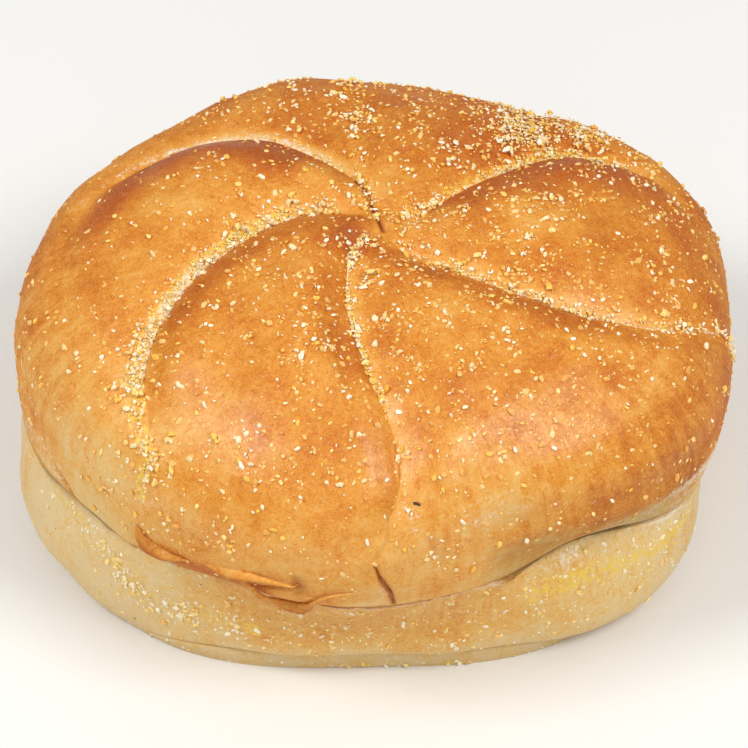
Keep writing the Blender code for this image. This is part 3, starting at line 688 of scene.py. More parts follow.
HEEL_PATCHES = {
    "brown": (
        (0.24, (248.0, 296.0, 26.0), (START, 0.75, 0.9)),
        (0.08, (258.0, 12.0), (START, 0.75, 0.9)),
        (0.16, (30.0, 150.0, 40.0), (START, 0.75, 0.9)),
        # The foot is painted paler: partly its own pale base and partly painted light that offsets its shade.
        (-0.12, ALL_ROUND, (2.0, END, 0.1)),
        (-0.05, (205.0, 240.0, 12.0), (START, END, 1.0)),
    ),
    "flour_and_sheen": (
        # The pale line along the heel's cut edge and lip is partly pale crust at the cut and partly a painted
        # highlight where the lip catches the light.
        (0.20, ALL_ROUND, (START, 0.0, 0.05)),
        (0.60, (260.0, 294.0, 4.0), (START, 0.0, 0.05)),
        # Flour on the foot: partly real flour on the base and partly painted light that offsets its shade.
        (0.22, ALL_ROUND, (2.18, END, 0.1)),
        (0.16, (300.0, 335.0, 8.0), (START, 0.0, 0.9)),
        (0.50, (311.0, 4.5), (0.15, 0.12)),
        (0.45, (316.0, 3.0), (0.80, 0.12)),
        (0.55, (331.0, 5.0), (0.05, 0.08)),
    ),
    # Painted shade: on the foot, in the crease above it, and along the cut edge in the seam's gap.
    "shade": (
        (0.08, ALL_ROUND, (2.27, END, 0.25)),
        (0.60, ALL_ROUND, (2.0, 0.06)),
        (0.40, (299.0, 322.0, 4.0), (START, 0.0, 0.05)),
        (0.25, (200.0, 258.0, 5.0), (START, 0.0, 0.10)),
    ),
    "wrinkle": ((0.70, (278.0, 330.0, 12.0), (START, 0.5, 0.5)),),
    "meal": (
        (0.55, (246.0, 262.0, 4.0), (0.9, 0.3)),
        (1.00, (303.0, 338.0, 5.0), (0.42, 0.36)),
    ),
}

# Grains for each square millimetre: wide fields and small heaps of the crown,
# and places of the heel.
CROWN_FIELDS = (
    (0.12, (236.0, 300.0, 12.0), (0.15, 1.05, 0.15)),
    (0.17, (55.0, 125.0, 10.0), (0.2, 0.95, 0.15)),
    (0.19, (196.0, 258.0, 10.0), (0.25, 0.88, 0.12)),
    (0.11, (180.0, 222.0, 10.0), (0.85, 1.28, 0.08)),
)
CROWN_HEAPS = (
    (0.45, (36.0, 9.0), (0.88, 0.12)),
    (0.60, (168.0, 6.0), (0.67, 0.055)),
    (0.20, (140.0, 14.0), (0.52, 0.07)),
    (0.85, (227.0, 8.0), (1.05, 0.10)),
    (0.70, (225.5, 2.5), (1.23, 0.05)),
    (1.20, (245.5, 4.5), (1.13, 0.05)),
    (0.50, (283.0, 2.5), (1.17, 0.05)),
)
HEEL_HEAPS = (
    (0.30, (236.0, 262.0, 6.0), (0.85, 0.26)),
    (0.24, (303.0, 334.0, 4.0), (0.45, 0.35)),
    (0.50, (331.0, 6.0), (0.28, 0.12)),
    (0.50, (321.0, 3.0), (0.70, 0.25)),
    (2.20, (254.2, 1.6), (0.05, 0.06)),
    (0.16, (20.0, 160.0, 20.0), (0.6, 0.4)),
)


def fold_tones(direction, way):
    """Browning, dullness and meal stain that the folds give the crust: bands of
    brown on the lips, partly real browning and partly painted shade, pale bells
    beside them, and the stain along the meal."""
    brown, dull, meal = (0.0 * direction * way for _ in range(3))
    for fold in FOLDS:
        own = fold_side(fold, direction, way)
        ends = fold_ends(fold, way) * own
        side = fold_distance(fold, direction, way) * (fold.lip or 1)
        if fold.lip:
            amount, first, last, breadth = BROWNED_AND_SHADED_LIPS[fold.name]
            band = smooth(side / 1.2) * (1.0 - smooth((side / breadth - 2.2) / 6.0)) * own
            brown = brown + amount * band * between(way, first, last, 0.14) * smooth(way / 0.1)
            brown = brown - 0.20 * ends * bell(side, -1.2, 1.5) * smooth((way - 0.06) / 0.2)
        if fold.name in DULL_LIPS:
            dull = dull + 0.9 * bell(side, 1.0, 2.6) * ends
        if fold.name in STRETCHED:
            amount, first, last = STRETCHED[fold.name]
            brown = brown - amount * own * bell(side, -1.0, 1.5) * between(way, first, last, 0.1)
        brown = brown - 0.06 * ends * bell(side, 0.0, 1.2)
        _, _, dust, trail = meal_band(fold, direction, way)
        meal = meal + dust * trail
    return brown, dull, meal


def clipped(tones):
    """The tones, each kept from 0 to 1."""
    return {name: np.clip(values, 0.0, 1.0) for name, values in tones.items()}


def crown_tones(direction, way, points):
    """How browned, floury, red, wrinkled, shaded, meal-stained and dull the
    crown's crust is. The shade is painted shade, and the flour value also holds
    painted sheen streaks and specks. The brushed glaze is on the top and the
    front; the back and the rim are dull."""
    azimuth, arc = crust_place(direction, way)
    tones = {name: patched(0.0 * azimuth, rows, azimuth, arc) for name, rows in CROWN_PATCHES.items()}
    brown, dull, meal = fold_tones(direction, way)
    _, under = rim_fold(azimuth, arc)
    _, tones["red"] = crown_marks(azimuth, arc)
    right = 0.5 + 0.5 * np.cos(azimuth - math.radians(15.0))
    tones["brown"] += 0.50 + brown + 0.05 * right * between(arc, 0.62, 1.25, 0.3) - 0.20 * under
    tones["brown"] += 0.08 * unevenness(points / MM, 14.0, 21) + 0.06 * unevenness(points / MM, 5.0, 23)
    for name, amount, centre, width, first, last in CROWN_FLOUR:
        fold = FOLDS[FOLD_NAMES.index(name)]
        strip = bell(fold_distance(fold, direction, way), centre, width)
        tones["flour_and_sheen"] += amount * strip * between(way, first, last, 0.12) * fold_side(fold, direction, way)
    front_right = between(in_degrees(azimuth), 280.0, 338.0, 10.0) * smooth((arc - 0.70) / 0.2)
    tones["wrinkle"] = np.maximum(0.30 + tones["wrinkle"], 0.85 * front_right)
    # Painted light and shade of fine puckers: light and dark mottles in the browning, and pale sheen specks
    # laid in as flour, where the wrinkles are strong.
    painted_pucker_light = unevenness(points / MM, 1.4, 25) * smooth((tones["wrinkle"] - 0.3) / 0.4)
    tones["brown"] -= 0.08 * painted_pucker_light
    tones["flour_and_sheen"] += 0.16 * np.clip(painted_pucker_light, 0.0, 1.0)
    # Painted shade under the tucked right rim and in the deepest, reddest crevices.
    tones["shade"] += 0.15 * under + 0.55 * smooth((tones["red"] - 0.70) / 0.3)
    tones["meal"] = (meal + 0.5 * meal_drift(azimuth, arc)) * smooth((arc - 0.20) / 0.12)
    facing_back = 0.5 + 0.5 * np.sin(azimuth)
    tones["dull"] = dull + 0.20 + 0.80 * smooth((arc - 0.62) / 0.30) * smooth(facing_back / 0.55)
    tones["dull"] += 0.9 * smooth((arc - 1.12) / 0.12)
    return clipped(tones)


def heel_tones(azimuth, way, points):
    """The same values as crown_tones, for the heel."""
    degrees = in_degrees(azimuth)
    tones = {name: patched(0.0 * azimuth, rows, azimuth, way) for name, rows in HEEL_PATCHES.items()}
    tones["brown"] += 0.05 + 0.03 * np.sin(azimuth * 3.0 + 0.6)
    tones["brown"] += 0.06 * unevenness(points / MM, 9.0, 31) + 0.04 * unevenness(points / MM, 3.5, 33)
    for first, last, half, _ in HEEL_MARKS:
        apart, along = heel_mark_way(azimuth, way, first, last)
        streak = bell(apart, 0.0, half * (1.0 + along)) * (1.0 - smooth((along - 0.6) / 0.4))
        tones["flour_and_sheen"] += 0.30 * streak
        tones["brown"] -= 0.06 * streak
    tones["wrinkle"] += 0.30
    tones["meal"] += 0.9 * bell(way, heel_band(degrees), 0.13) * between(degrees, 203.0, 246.0, 4.0)
    tones["red"], tones["dull"] = 0.0 * way, 0.35 + 0.0 * way
    return clipped(tones)


def heel_band(degrees):
    """Way of the left grit band down the heel, from the cut to the widest level."""
    return 0.16 + 0.73 * smooth((degrees - 209.0) / 18.0)


def clumps(azimuth, way_mm):
    """Unevenness of the scattered meal, about 1, in clumps of 4 and 1.6 mm."""
    place = at_reach(way_mm, azimuth, 0.0 * azimuth)
    return np.clip(1.0 + 0.9 * unevenness(place, 4.0, 41) + 0.8 * unevenness(place, 1.6, 43), 0.0, 3.0)


def heel_clumps(azimuth, way):
    """The same for the heel, which starts 50 mm out and is 12 mm a way."""
    return clumps(azimuth, 50.0 + 12.0 * way)


def meal_band(fold, direction, way):
    """Grains, fine meal and dust along a fold, and how much of them lies at a
    place: a bell across the fold."""
    amount, fine, centre, width, first, last, dust = MEAL_BANDS[fold.name]
    band = bell(fold_distance(fold, direction, way), centre, width) * fold_side(fold, direction, way)
    return amount, fine, dust, band * between(way, first, last, 0.06)


def meal_drift(azimuth, arc):
    """The drift of meal on the back right: a bell in direction and arc."""
    return near(azimuth, 50.0, 9.5) * bell(arc, 0.77, 0.12)


def crown_fine_cover(direction, way):
    """Fine meal in the folds for each square millimetre of the crown."""
    azimuth, arc = crust_place(direction, way)
    cover = 0.0 * azimuth
    for fold in FOLDS:
        _, fine, _, band = meal_band(fold, direction, way)
        cover = cover + fine * band ** 2
    cover = cover + 4.4 * meal_drift(azimuth, arc)
    return cover * (0.4 + 0.6 * clumps(azimuth, arc * RADIUS / MM))


def heel_fine_cover(azimuth, way):
    """Fine meal on the heel's grit band for each square millimetre."""
    degrees = in_degrees(azimuth)
    band = bell(way, heel_band(degrees), 0.22) * between(degrees, 204.0, 228.0, 6.0)
    band = 1.5 * band + 0.7 * between(degrees, 303.0, 336.0, 5.0) * bell(way, 0.42, 0.30)
    return band * (0.3 + 0.7 * heel_clumps(azimuth, way))


def crown_cover(direction, way):
    """Grains of cornmeal for each square millimetre of the crown."""
    azimuth, arc = crust_place(direction, way)
    right = (0.5 + 0.5 * np.cos(azimuth - math.radians(12.0))) ** 1.4
    cover = 0.034 + 0.30 * bell(arc, 0.0, 0.36) + 0.26 * right * (1.0 - 0.80 * smooth((arc - 0.80) / 0.25))
    cover = patched(cover, CROWN_FIELDS, azimuth, arc)
    for fold in FOLDS:
        amount, _, _, band = meal_band(fold, direction, way)
        cover = cover + amount * band
    cover = cover + 2.70 * meal_drift(azimuth, arc)
    cover = patched(cover, CROWN_HEAPS, azimuth, arc)
    lip = fold_distance(FOLDS[FOLD_NAMES.index("left_back")], direction, way)
    bare = bell(lip, 2.2, 2.4) * between(way, 0.3, 0.9, 0.1)
    return np.clip(cover * (1.0 - 0.8 * bare) * clumps(azimuth, arc * RADIUS / MM), 0.0, 2.9)


def crown_glazed_cover(direction, way):
    """Chips under the brushed skin for each square millimetre of the crown."""
    azimuth, arc = crust_place(direction, way)
    right = 0.5 + 0.5 * np.cos(azimuth - math.radians(330.0))
    cover = 0.07 + 0.26 * right * (1.0 - 0.8 * smooth((arc - 0.82) / 0.25)) + 0.20 * bell(arc, 0.0, 0.4)
    return cover * clumps(azimuth, arc * RADIUS / MM)


def heel_cover(azimuth, way):
    """Grains of cornmeal for each square millimetre of the heel."""
    degrees = in_degrees(azimuth)
    cover = 0.015 + 0.12 * between(degrees, 222.0, 300.0, 12.0) * between(way, 0.08, 1.2, 0.15)
    band = bell(way, heel_band(degrees), 0.22) * between(degrees, 202.0, 246.0, 3.0)
    fuller = 0.55 + 0.45 * smooth((degrees - 212.0) / 10.0)
    cover = cover + 1.45 * band * fuller * (1.0 - 0.65 * smooth((degrees - 226.0) / 8.0))
    cover = cover + 0.50 * between(degrees, 224.0, 250.0, 6.0) * bell(way, heel_band(degrees), 0.36)
    cover = patched(cover, HEEL_HEAPS, azimuth, way)
    grit = between(degrees, 262.0, 335.0, 8.0) + 0.5 * between(degrees, 0.0, 200.0, 10.0)
    cover = cover + 0.65 * grit * smooth((way - 2.55) / 0.3)
    return np.clip(cover * heel_clumps(azimuth, way), 0.0, 2.6)


def heel_glazed_cover(azimuth, way):
    """Chips baked into the heel's skin for each square millimetre."""
    degrees = in_degrees(azimuth)
    cover = 0.03 + 0.20 * between(degrees, 225.0, 300.0, 14.0) * (1.0 - smooth((way - 1.2) / 0.6))
    cover = cover + 0.16 * between(degrees, 300.0, 336.0, 6.0) * (1.0 - smooth((way - 0.9) / 0.5))
    return cover * heel_clumps(azimuth, way)


COVERS = {
    CHIPS: (crown_cover, heel_cover),
    GLAZED: (crown_glazed_cover, heel_glazed_cover),
    FINE: (crown_fine_cover, heel_fine_cover),
}


def crown_length(azimuth, arc):
    """Reach times the length of the crown's arcs that take grains, in mm^2."""
    reach = np.interp(arc, PROFILE_ARC, PROFILE_REACH)
    return reach * crown_outline(azimuth) / MM * FULL_ARC * RADIUS / MM * CROWN_SPREAD


def heel_length(azimuth, way):
    """The same for the heel and its ways."""
    upper, lower, foot = HEEL_LENGTHS
    down = np.where(way < 1.0, upper, np.where(way < 2.0, lower, foot))
    return heel_outline(azimuth) / MM * down * HEEL_SPREAD


# ---- Meshes ---------------------------------------------------------------
def placed(name, data):
    """An object of that name and data, in the scene."""
    item = bpy.data.objects.new(name, data)
    bpy.context.scene.collection.objects.link(item)
    return item


def petal_azimuths(ways):
    """Directions of the grid's columns at each way, close set at the folds:
    way - crowding sin(2 pi way) / (2 pi). The front fold's columns trail off
    to one side along the open tear, by 2.6 degrees and then up to 3.5 more."""
    bottoms = [fold_azimuth(fold, ways) for fold in FOLDS]
    trail = np.radians(2.6) * smooth((ways - 1.08) / 0.08)
    trail = trail + np.radians(3.2) * np.clip((ways - 1.15) / 0.22, 0.0, 1.1)
    front = FOLD_NAMES.index("front")
    bottoms[front] = bottoms[front] + trail
    least = math.radians(LEAST_PETAL)
    for index in range(1, len(bottoms)):
        bottoms[index] = np.maximum(bottoms[index], bottoms[index - 1] + least)
    bottoms.append(bottoms[0] + 2.0 * math.pi)
    bottoms[-2] = np.minimum(bottoms[-2], bottoms[-1] - least)
    columns = []
    for first, last, count in zip(bottoms[:-1], bottoms[1:], PETAL_COLUMNS):
        way = np.arange(count) / count
        way = way - COLUMN_CROWDING * np.sin(2.0 * math.pi * way) / (2.0 * math.pi)
        columns.append(first[:, None] + (last - first)[:, None] * way)
    return np.concatenate(columns, axis=1)


def surface_mesh(name, rings, pole_first, pole_last, materials, ring_material):
    """Object of closed rings joined by quads, with a fan to a pole at each
    end. ring_material gives the material index of each band between rings."""
    rows, count = rings.shape[:2]
    points = np.concatenate([[pole_first], rings.reshape(-1, 3), [pole_last]])
    k = np.arange(count)
    after = (k + 1) % count
    start = np.arange(rows - 1)[:, None] * count + 1
    quads = np.stack([start + k, start + count + k, start + count + after, start + after], -1).reshape(-1, 4)
    last = len(points) - 1
    end = 1 + (rows - 1) * count
    first_fan = np.stack([0 * k, 1 + k, 1 + after], -1)
    last_fan = np.stack([0 * k + last, end + after, end + k], -1)
    mesh = bpy.data.meshes.new(name)
    mesh.from_pydata(points.tolist(), [], first_fan.tolist() + quads.tolist() + last_fan.tolist())
    fans = np.full(count, ring_material[0]), np.full(count, ring_material[-1])
    index = np.concatenate([fans[0], np.repeat(ring_material[:-1], count), fans[1]])
    for material in materials:
        mesh.materials.append(material)
    mesh.polygons.foreach_set("material_index", index.astype(np.int32))
    mesh.update()
    mesh.shade_smooth()
    mesh.set_sharp_from_angle(angle=SHARP_ANGLE)
    return placed(name, mesh)


def set_tones(piece, tones):
    """Write one value for each vertex as a named attribute."""
    for name, values in tones.items():
        kind = "FLOAT_VECTOR" if values.ndim == 2 else "FLOAT"
        attribute = piece.data.attributes.new(name, kind, "POINT")
        key = "vector" if values.ndim == 2 else "value"
        attribute.data.foreach_set(key, values.astype(np.float32).ravel())


def with_poles(values, first, last):
    """Grid values in vertex order, with the poles' own before and after."""
    flat = values.reshape(-1, 3) if values.ndim == 3 else values.ravel()
    return np.concatenate([[first], flat, [last]])


def grain_shapes(draw, sizes, flatness):
    """Twelve corners for each grain: an icosahedron pulled about at random and
    stretched to a chip, as an array (grains, 12, 3)."""
    golden = (1.0 + 5.0 ** 0.5) / 2.0
    corners = np.array([(-1, golden, 0), (1, golden, 0), (-1, -golden, 0), (1, -golden, 0),
                        (0, -1, golden), (0, 1, golden), (0, -1, -golden), (0, 1, -golden),
                        (golden, 0, -1), (golden, 0, 1), (-golden, 0, -1), (-golden, 0, 1)])
    corners = corners / np.linalg.norm(corners[0])
    count = len(sizes)
    shapes = corners[None] * draw.uniform(0.62, 1.15, (count, 12, 1))
    stretch = np.stack([draw.uniform(0.95, 1.45, count), draw.uniform(0.65, 1.0, count),
                        flatness * draw.uniform(0.75, 1.15, count)], -1)
    return shapes * stretch[:, None] * 0.5 * sizes[:, None, None]


GRAIN_FACES = np.array([
    (0, 11, 5), (0, 5, 1), (0, 1, 7), (0, 7, 10), (0, 10, 11), (1, 5, 9), (5, 11, 4), (11, 10, 2),
    (10, 7, 6), (7, 1, 8), (3, 9, 4), (3, 4, 2), (3, 2, 6), (3, 6, 8), (3, 8, 9), (4, 9, 5),
    (2, 4, 11), (6, 2, 10), (8, 6, 7), (9, 8, 1)])


def glide(stations, way):
    """Smooth curve through rows of numbers for ways from 0 to 1: a cubic whose
    slope at each row is half the step between its neighbours."""
    rows = np.array(stations)
    rows = np.concatenate([2.0 * rows[:1] - rows[1:2], rows, 2.0 * rows[-1:] - rows[-2:-1]])
    place = way * (len(stations) - 1)
    index = np.minimum(place.astype(int), len(stations) - 2)
    t = (place - index)[:, None]
    a, b, c, d = rows[index], rows[index + 1], rows[index + 2], rows[index + 3]
    square, cube = 2.0 * a - 5.0 * b + 4.0 * c - d, 3.0 * b - a - 3.0 * c + d
    return 0.5 * (2.0 * b + (c - a) * t + square * t ** 2 + cube * t ** 3)


def torn_rings(stations, seed):
    """Rings of a torn piece: ellipses set across its way along the side, with
    uneven edges; the piece tapers to a point at both ends."""
    values = glide(stations, np.linspace(0.0, 1.0, TORN_ROWS))
    middle, outward = side_point(np.radians(values[:, 0]), values[:, 1], values[:, 4])
    ahead = unit(np.gradient(middle, axis=0))
    across = unit(np.cross(outward, ahead))
    across = across * math.cos(TORN_FLARE) - np.cross(ahead, across) * math.sin(TORN_FLARE)
    facing = np.cross(ahead, across)
    angle = np.arange(TORN_COLUMNS) * 2.0 * math.pi / TORN_COLUMNS
    ragged = 1.0 + 0.18 * unevenness(middle / MM, 1.3, seed)[:, None] * np.cos(angle)
    ragged = ragged + 0.10 * np.cos(3.0 * angle + seed)
    wide = (values[:, 2:3].clip(0.04) * ragged * np.cos(angle) * MM)[..., None]
    thick = (values[:, 3:4].clip(0.04) * np.sin(angle) * MM)[..., None]
    return middle[:, None] + across[:, None] * wide + facing[:, None] * thick


def surface_frames(surface, azimuth, way, step):
    """Points, outward normals and one tangent of a surface at many places,
    found by small steps around it and down it."""
    here = surface(azimuth, way)
    side = surface(azimuth + STEP_AROUND, way) - here
    down = surface(azimuth, way + step) - here
    return here, unit(np.cross(down, side)), unit(side)


def scatter(draw, cover, low, high, length_of, tries):
    """Places (direction, way) drawn so that grains for each square millimetre
    follow the cover: each try stands for an equal share of way and direction,
    and length_of gives its reach times the length of all the ways, in mm^2."""
    azimuth = draw.uniform(0.0, 2.0 * math.pi, tries)
    way = draw.uniform(low, high, tries)
    cell = length_of(azimuth, way) * 2.0 * math.pi / tries
    kept = draw.uniform(0.0, 1.0, tries) < cover(azimuth, way) * cell
    return azimuth[kept], way[kept], cover(azimuth[kept], way[kept])


def lay_grains(draw, points, normals, tangents, cover, layer, settings):
    """World corners of grains laid on a crust. Chips lie mostly flat, half
    sunk, and where the cover is thick some lie on top of others. Glazed ones
    are flatter and lie deeper, under the brushed skin. Fine meal is heaped up
    to 0.4 mm high in the folds."""
    count = len(points)
    glazed, fine = layer == GLAZED, layer == FINE
    heel = points[:, 2] < CUT_HEIGHT
    usual = math.log(settings.grain_size / MM) - 0.18 * glazed - 0.42 * fine - 0.08 * heel
    lengths = np.exp(draw.normal(usual, 0.38, count))
    sizes = np.clip(lengths, SMALLEST_GRAIN, settings.grain_largest / MM) * MM
    shapes = grain_shapes(draw, sizes, np.where(glazed, 0.40, 0.62))
    spin = draw.uniform(0.0, 2.0 * math.pi, count)
    lean = draw.normal(0.0, 0.45, (count, 2)) * np.where(glazed, 0.3, 1.0)[:, None]
    across = np.cross(normals, tangents)
    first = tangents * np.cos(spin)[:, None] + across * np.sin(spin)[:, None]
    up = unit(normals + first * lean[:, :1] + np.cross(normals, first) * lean[:, 1:])
    first = unit(first - up * np.sum(first * up, axis=-1, keepdims=True))
    second = np.cross(up, first)
    piled = smooth((cover - 0.45) / 0.6) * (draw.uniform(0.0, 1.0, count) < 0.45) * ~glazed * ~heel
    lift = sizes * (0.08 + 0.12 * draw.uniform(0.0, 1.0, count))
    lift = lift + piled * sizes * draw.uniform(0.3, 0.7, count)
    lift = np.where(glazed, 0.02 * sizes, lift) + fine * ~heel * draw.uniform(0.0, 0.4 * MM, count)
    lift = np.where(heel, 0.5 * lift, lift)
    centre = points + normals * lift[:, None]
    return centre[:, None] + (shapes[..., :1] * first[:, None] + shapes[..., 1:2] * second[:, None]
                              + shapes[..., 2:] * up[:, None])


def grain_piece(name, corners, tone, material):
    """One mesh object of many separate grains."""
    count = len(corners)
    faces = (GRAIN_FACES[None] + 12 * np.arange(count)[:, None, None]).reshape(-1, 3)
    mesh = bpy.data.meshes.new(name)
    mesh.from_pydata(corners.reshape(-1, 3).tolist(), [], faces.tolist())
    mesh.materials.append(material)
    mesh.update()
    piece = placed(name, mesh)
    set_tones(piece, {"tone": np.repeat(tone, 12)})
    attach(piece, "root")


# ---- Materials ------------------------------------------------------------
def srgb(text):
    """Linear RGBA of an sRGB hex colour."""
    parts = [int(text[i:i + 2], 16) / 255.0 for i in (1, 3, 5)]
    return tuple(p / 12.92 if p <= 0.04045 else ((p + 0.055) / 1.055) ** 2.4 for p in parts) + (1.0,)


def per_mm(size_mm):
    """Noise scale, in features for each metre, for features of a size in mm."""
    return 1.0 / (size_mm * MM)


def add(tree, kind, links=(), **settings):
    """Add a node, set its settings and sockets, and link its inputs.

    links holds (input, source socket); a setting whose name is a socket's
    goes to the socket, and any other is a property of the node."""
    node = tree.nodes.new(kind)
    for key, value in settings.items():
        if hasattr(node, key):
            setattr(node, key, value)
    for key, value in settings.items():
        if not hasattr(node, key):
            socket = node.inputs[int(key[1:])] if key[1:].isdigit() else node.inputs[key.replace("_", " ")]
            socket.default_value = value
    for target, source in links:
        tree.links.new(source, node.inputs[target])
    return node


def new_material(name):
    """A material with an empty node tree, its output and its shader."""
    material = bpy.data.materials.new(name)
    material.use_nodes = True
    tree = material.node_tree
    tree.nodes.clear()
    shader = add(tree, "ShaderNodeBsdfPrincipled")
    add(tree, "ShaderNodeOutputMaterial", [("Surface", shader.outputs["BSDF"])])
    return material, tree, shader


def set_ramp(node, stops):
    """Give a colour ramp its stops: (position, hex colour)."""
    ramp = node.color_ramp
    while len(ramp.elements) < len(stops):
        ramp.elements.new(1.0)
    for element, (place, colour) in zip(ramp.elements, stops):
        element.position = place
        element.color = srgb(colour)


# Noises of the crust: size (mm), detail, roughness and distortion.
CRUST_NOISES = (
    (0.55, 4.0, 0.65, 1.6),   # fibres of the skin
    (2.6, 3.0, 0.6, 0.8),     # blotches
    (7.0, 3.0, 0.6, 0.0),     # a cloud over each petal
    (0.34, 2.0, 0.5, 2.5),    # pale flecks, where the skin blistered in the steam
    (0.9, 4.0, 0.75, 0.6),    # flour, which breaks up at this size
    (0.9, 4.0, 0.7, 0.0),     # yellow stain of the meal
    (1.6, 3.0, 0.5, 0.8),     # pores
)
CRUST_VALUES = ("brown", "flour_and_sheen", "red", "wrinkle", "shade", "meal", "dull")


def crust_material(name, colours, gloss):
    """Baked bread crust, brushed before baking: a thin, dense skin, pale where
    the dough stretched late and brown where it stood proud in the oven. The
    eye sees a soft sheen broken up by pores, a fine fibrous mottle of about
    0.5 mm and fine wrinkles that run down the sides."""
    material, tree, shader = new_material(name)
    place = add(tree, "ShaderNodeTexCoord").outputs["Object"]
    brown, flour_and_sheen, red, wrinkle, shade, meal, dull = (
        add(tree, "ShaderNodeAttribute", attribute_name=word).outputs["Fac"] for word in CRUST_VALUES)
    way = add(tree, "ShaderNodeAttribute", attribute_name="way").outputs["Vector"]
    fibre, blotch, cloud, fleck, dust, stain, pores = (
        add(tree, "ShaderNodeTexNoise", [("Vector", place)], Scale=per_mm(size), Detail=detail,
            Roughness=rough, Distortion=twist).outputs["Fac"]
        for size, detail, rough, twist in CRUST_NOISES)

    # Fibres, blotches, cloud and the wrinkles' streaks (1 mm across and 12 mm
    # long) all shift the browning.
    streak = add(tree, "ShaderNodeMapping", [("Vector", way)], Scale=(1.0, 1.0, 0.10)).outputs["Vector"]
    streak = add(tree, "ShaderNodeTexNoise", [("Vector", streak)], Scale=0.8, Detail=3.0,
                 Distortion=0.6).outputs["Fac"]
    tone = brown
    for mottle, weight in ((fibre, 1.00), (blotch, 0.40), (cloud, 0.55)):
        tone = add(tree, "ShaderNodeMath", [(0, mottle), (2, tone)], operation="MULTIPLY_ADD",
                   _1=weight).outputs[0]
    tone = add(tree, "ShaderNodeMath", [(0, tone)], operation="SUBTRACT", _1=0.935).outputs[0]
    lined = add(tree, "ShaderNodeMath", [(0, streak)], operation="MULTIPLY_ADD", _1=0.56, _2=-0.28).outputs[0]
    tone = add(tree, "ShaderNodeMath", [(0, lined), (1, wrinkle), (2, tone)],
               operation="MULTIPLY_ADD").outputs[0]
    baked = add(tree, "ShaderNodeValToRGB", [("Fac", tone)])
    set_ramp(baked, colours)

    # How much of a place the flecks, the stain and the flour cover; the flour's
    # mask also carries painted sheen streaks.
    stain = add(tree, "ShaderNodeMath", [(0, stain), (1, meal)], operation="MULTIPLY").outputs[0]
    powder_and_sheen = add(tree, "ShaderNodeMath", [(0, dust), (2, flour_and_sheen)], operation="MULTIPLY_ADD", _1=2.6).outputs[0]
    limits = ((fleck, 0.54, 0.74, 0.55), (stain, 0.42, 0.56, 0.85), (powder_and_sheen, 1.66, 2.10, 0.80))
    fleck, stain, powder_and_sheen = (
        add(tree, "ShaderNodeMapRange", [("Value", share)], interpolation_type="SMOOTHSTEP", From_Min=least,
            From_Max=most, To_Max=top).outputs["Result"] for share, least, most, top in limits)

    # Pale flecks, reddish bottoms of cracks, stain and flour (whose mask also
    # carries painted sheen streaks) lie over the baked colour, and painted shade
    # darkens them all: in the seam's gap, under the tucked rim, in deep crevices,
    # under the torn pieces and at the heel's foot and crease.
    colour = baked.outputs["Color"]
    for share, layer in ((fleck, "#F2BA7C"), (red, "#A44A0E"), (stain, "#EAC548"), (powder_and_sheen, "#F3E0C6")):
        colour = add(tree, "ShaderNodeMix", [("Factor", share), (6, colour)], data_type="RGBA",
                     _7=srgb(layer)).outputs[2]
    colour = add(tree, "ShaderNodeMix", [("Factor", shade), (6, colour)], data_type="RGBA",
                 blend_type="MULTIPLY", _7=srgb("#9A8A62")).outputs[2]
    tree.links.new(colour, shader.inputs["Base Color"])

    # Sheen of the skin, dulled by flour and where the brush didn't reach.
    rough = add(tree, "ShaderNodeMath", [(0, fibre)], operation="MULTIPLY_ADD", _1=0.50,
                _2=gloss - 0.25).outputs[0]
    for matt, weight in ((dull, 0.55), (powder_and_sheen, 0.35)):
        rough = add(tree, "ShaderNodeMath", [(0, matt), (2, rough)], operation="MULTIPLY_ADD",
                    _1=weight).outputs[0]
    tree.links.new(rough, shader.inputs["Roughness"])
    shader.inputs["IOR"].default_value = 1.45

    # Relief: wrinkles and pores, and over them fibres and flour.
    streak = add(tree, "ShaderNodeMath", [(0, streak), (1, wrinkle)], operation="MULTIPLY").outputs[0]
    relief = add(tree, "ShaderNodeMath", [(0, streak), (2, pores)], operation="MULTIPLY_ADD",
                 _1=1.4).outputs[0]
    soft = add(tree, "ShaderNodeBump", [("Height", relief)], Strength=1.0, Distance=0.06 * MM)
    skin = add(tree, "ShaderNodeMath", [(0, fibre), (1, powder_and_sheen)], operation="ADD").outputs[0]
    fine = add(tree, "ShaderNodeBump", [("Height", skin), ("Normal", soft.outputs["Normal"])], Strength=1.0,
               Distance=0.04 * MM)
    tree.links.new(fine.outputs["Normal"], shader.inputs["Normal"])
    return material


def crumb_material():
    """Cut bread crumb: open, matt and pale cream, with pores of about 1 mm,
    painted darker towards their middles: painted shade in the holes.
    """
    material, tree, shader = new_material("cut_bread_crumb")
    place = add(tree, "ShaderNodeTexCoord").outputs["Object"]
    pores = add(tree, "ShaderNodeTexVoronoi", [("Vector", place)], Scale=per_mm(1.4)).outputs["Distance"]
    shade = add(tree, "ShaderNodeValToRGB", [("Fac", pores)])
    set_ramp(shade, ((0.0, "#C9AE7E"), (0.35, "#EBDDBD"), (1.0, "#F4EAD2")))
    tree.links.new(shade.outputs["Color"], shader.inputs["Base Color"])
    shader.inputs["Roughness"].default_value = 0.85
    bump = add(tree, "ShaderNodeBump", [("Height", pores)], Strength=1.0, Distance=0.5 * MM)
    tree.links.new(bump.outputs["Normal"], shader.inputs["Normal"])
    return material


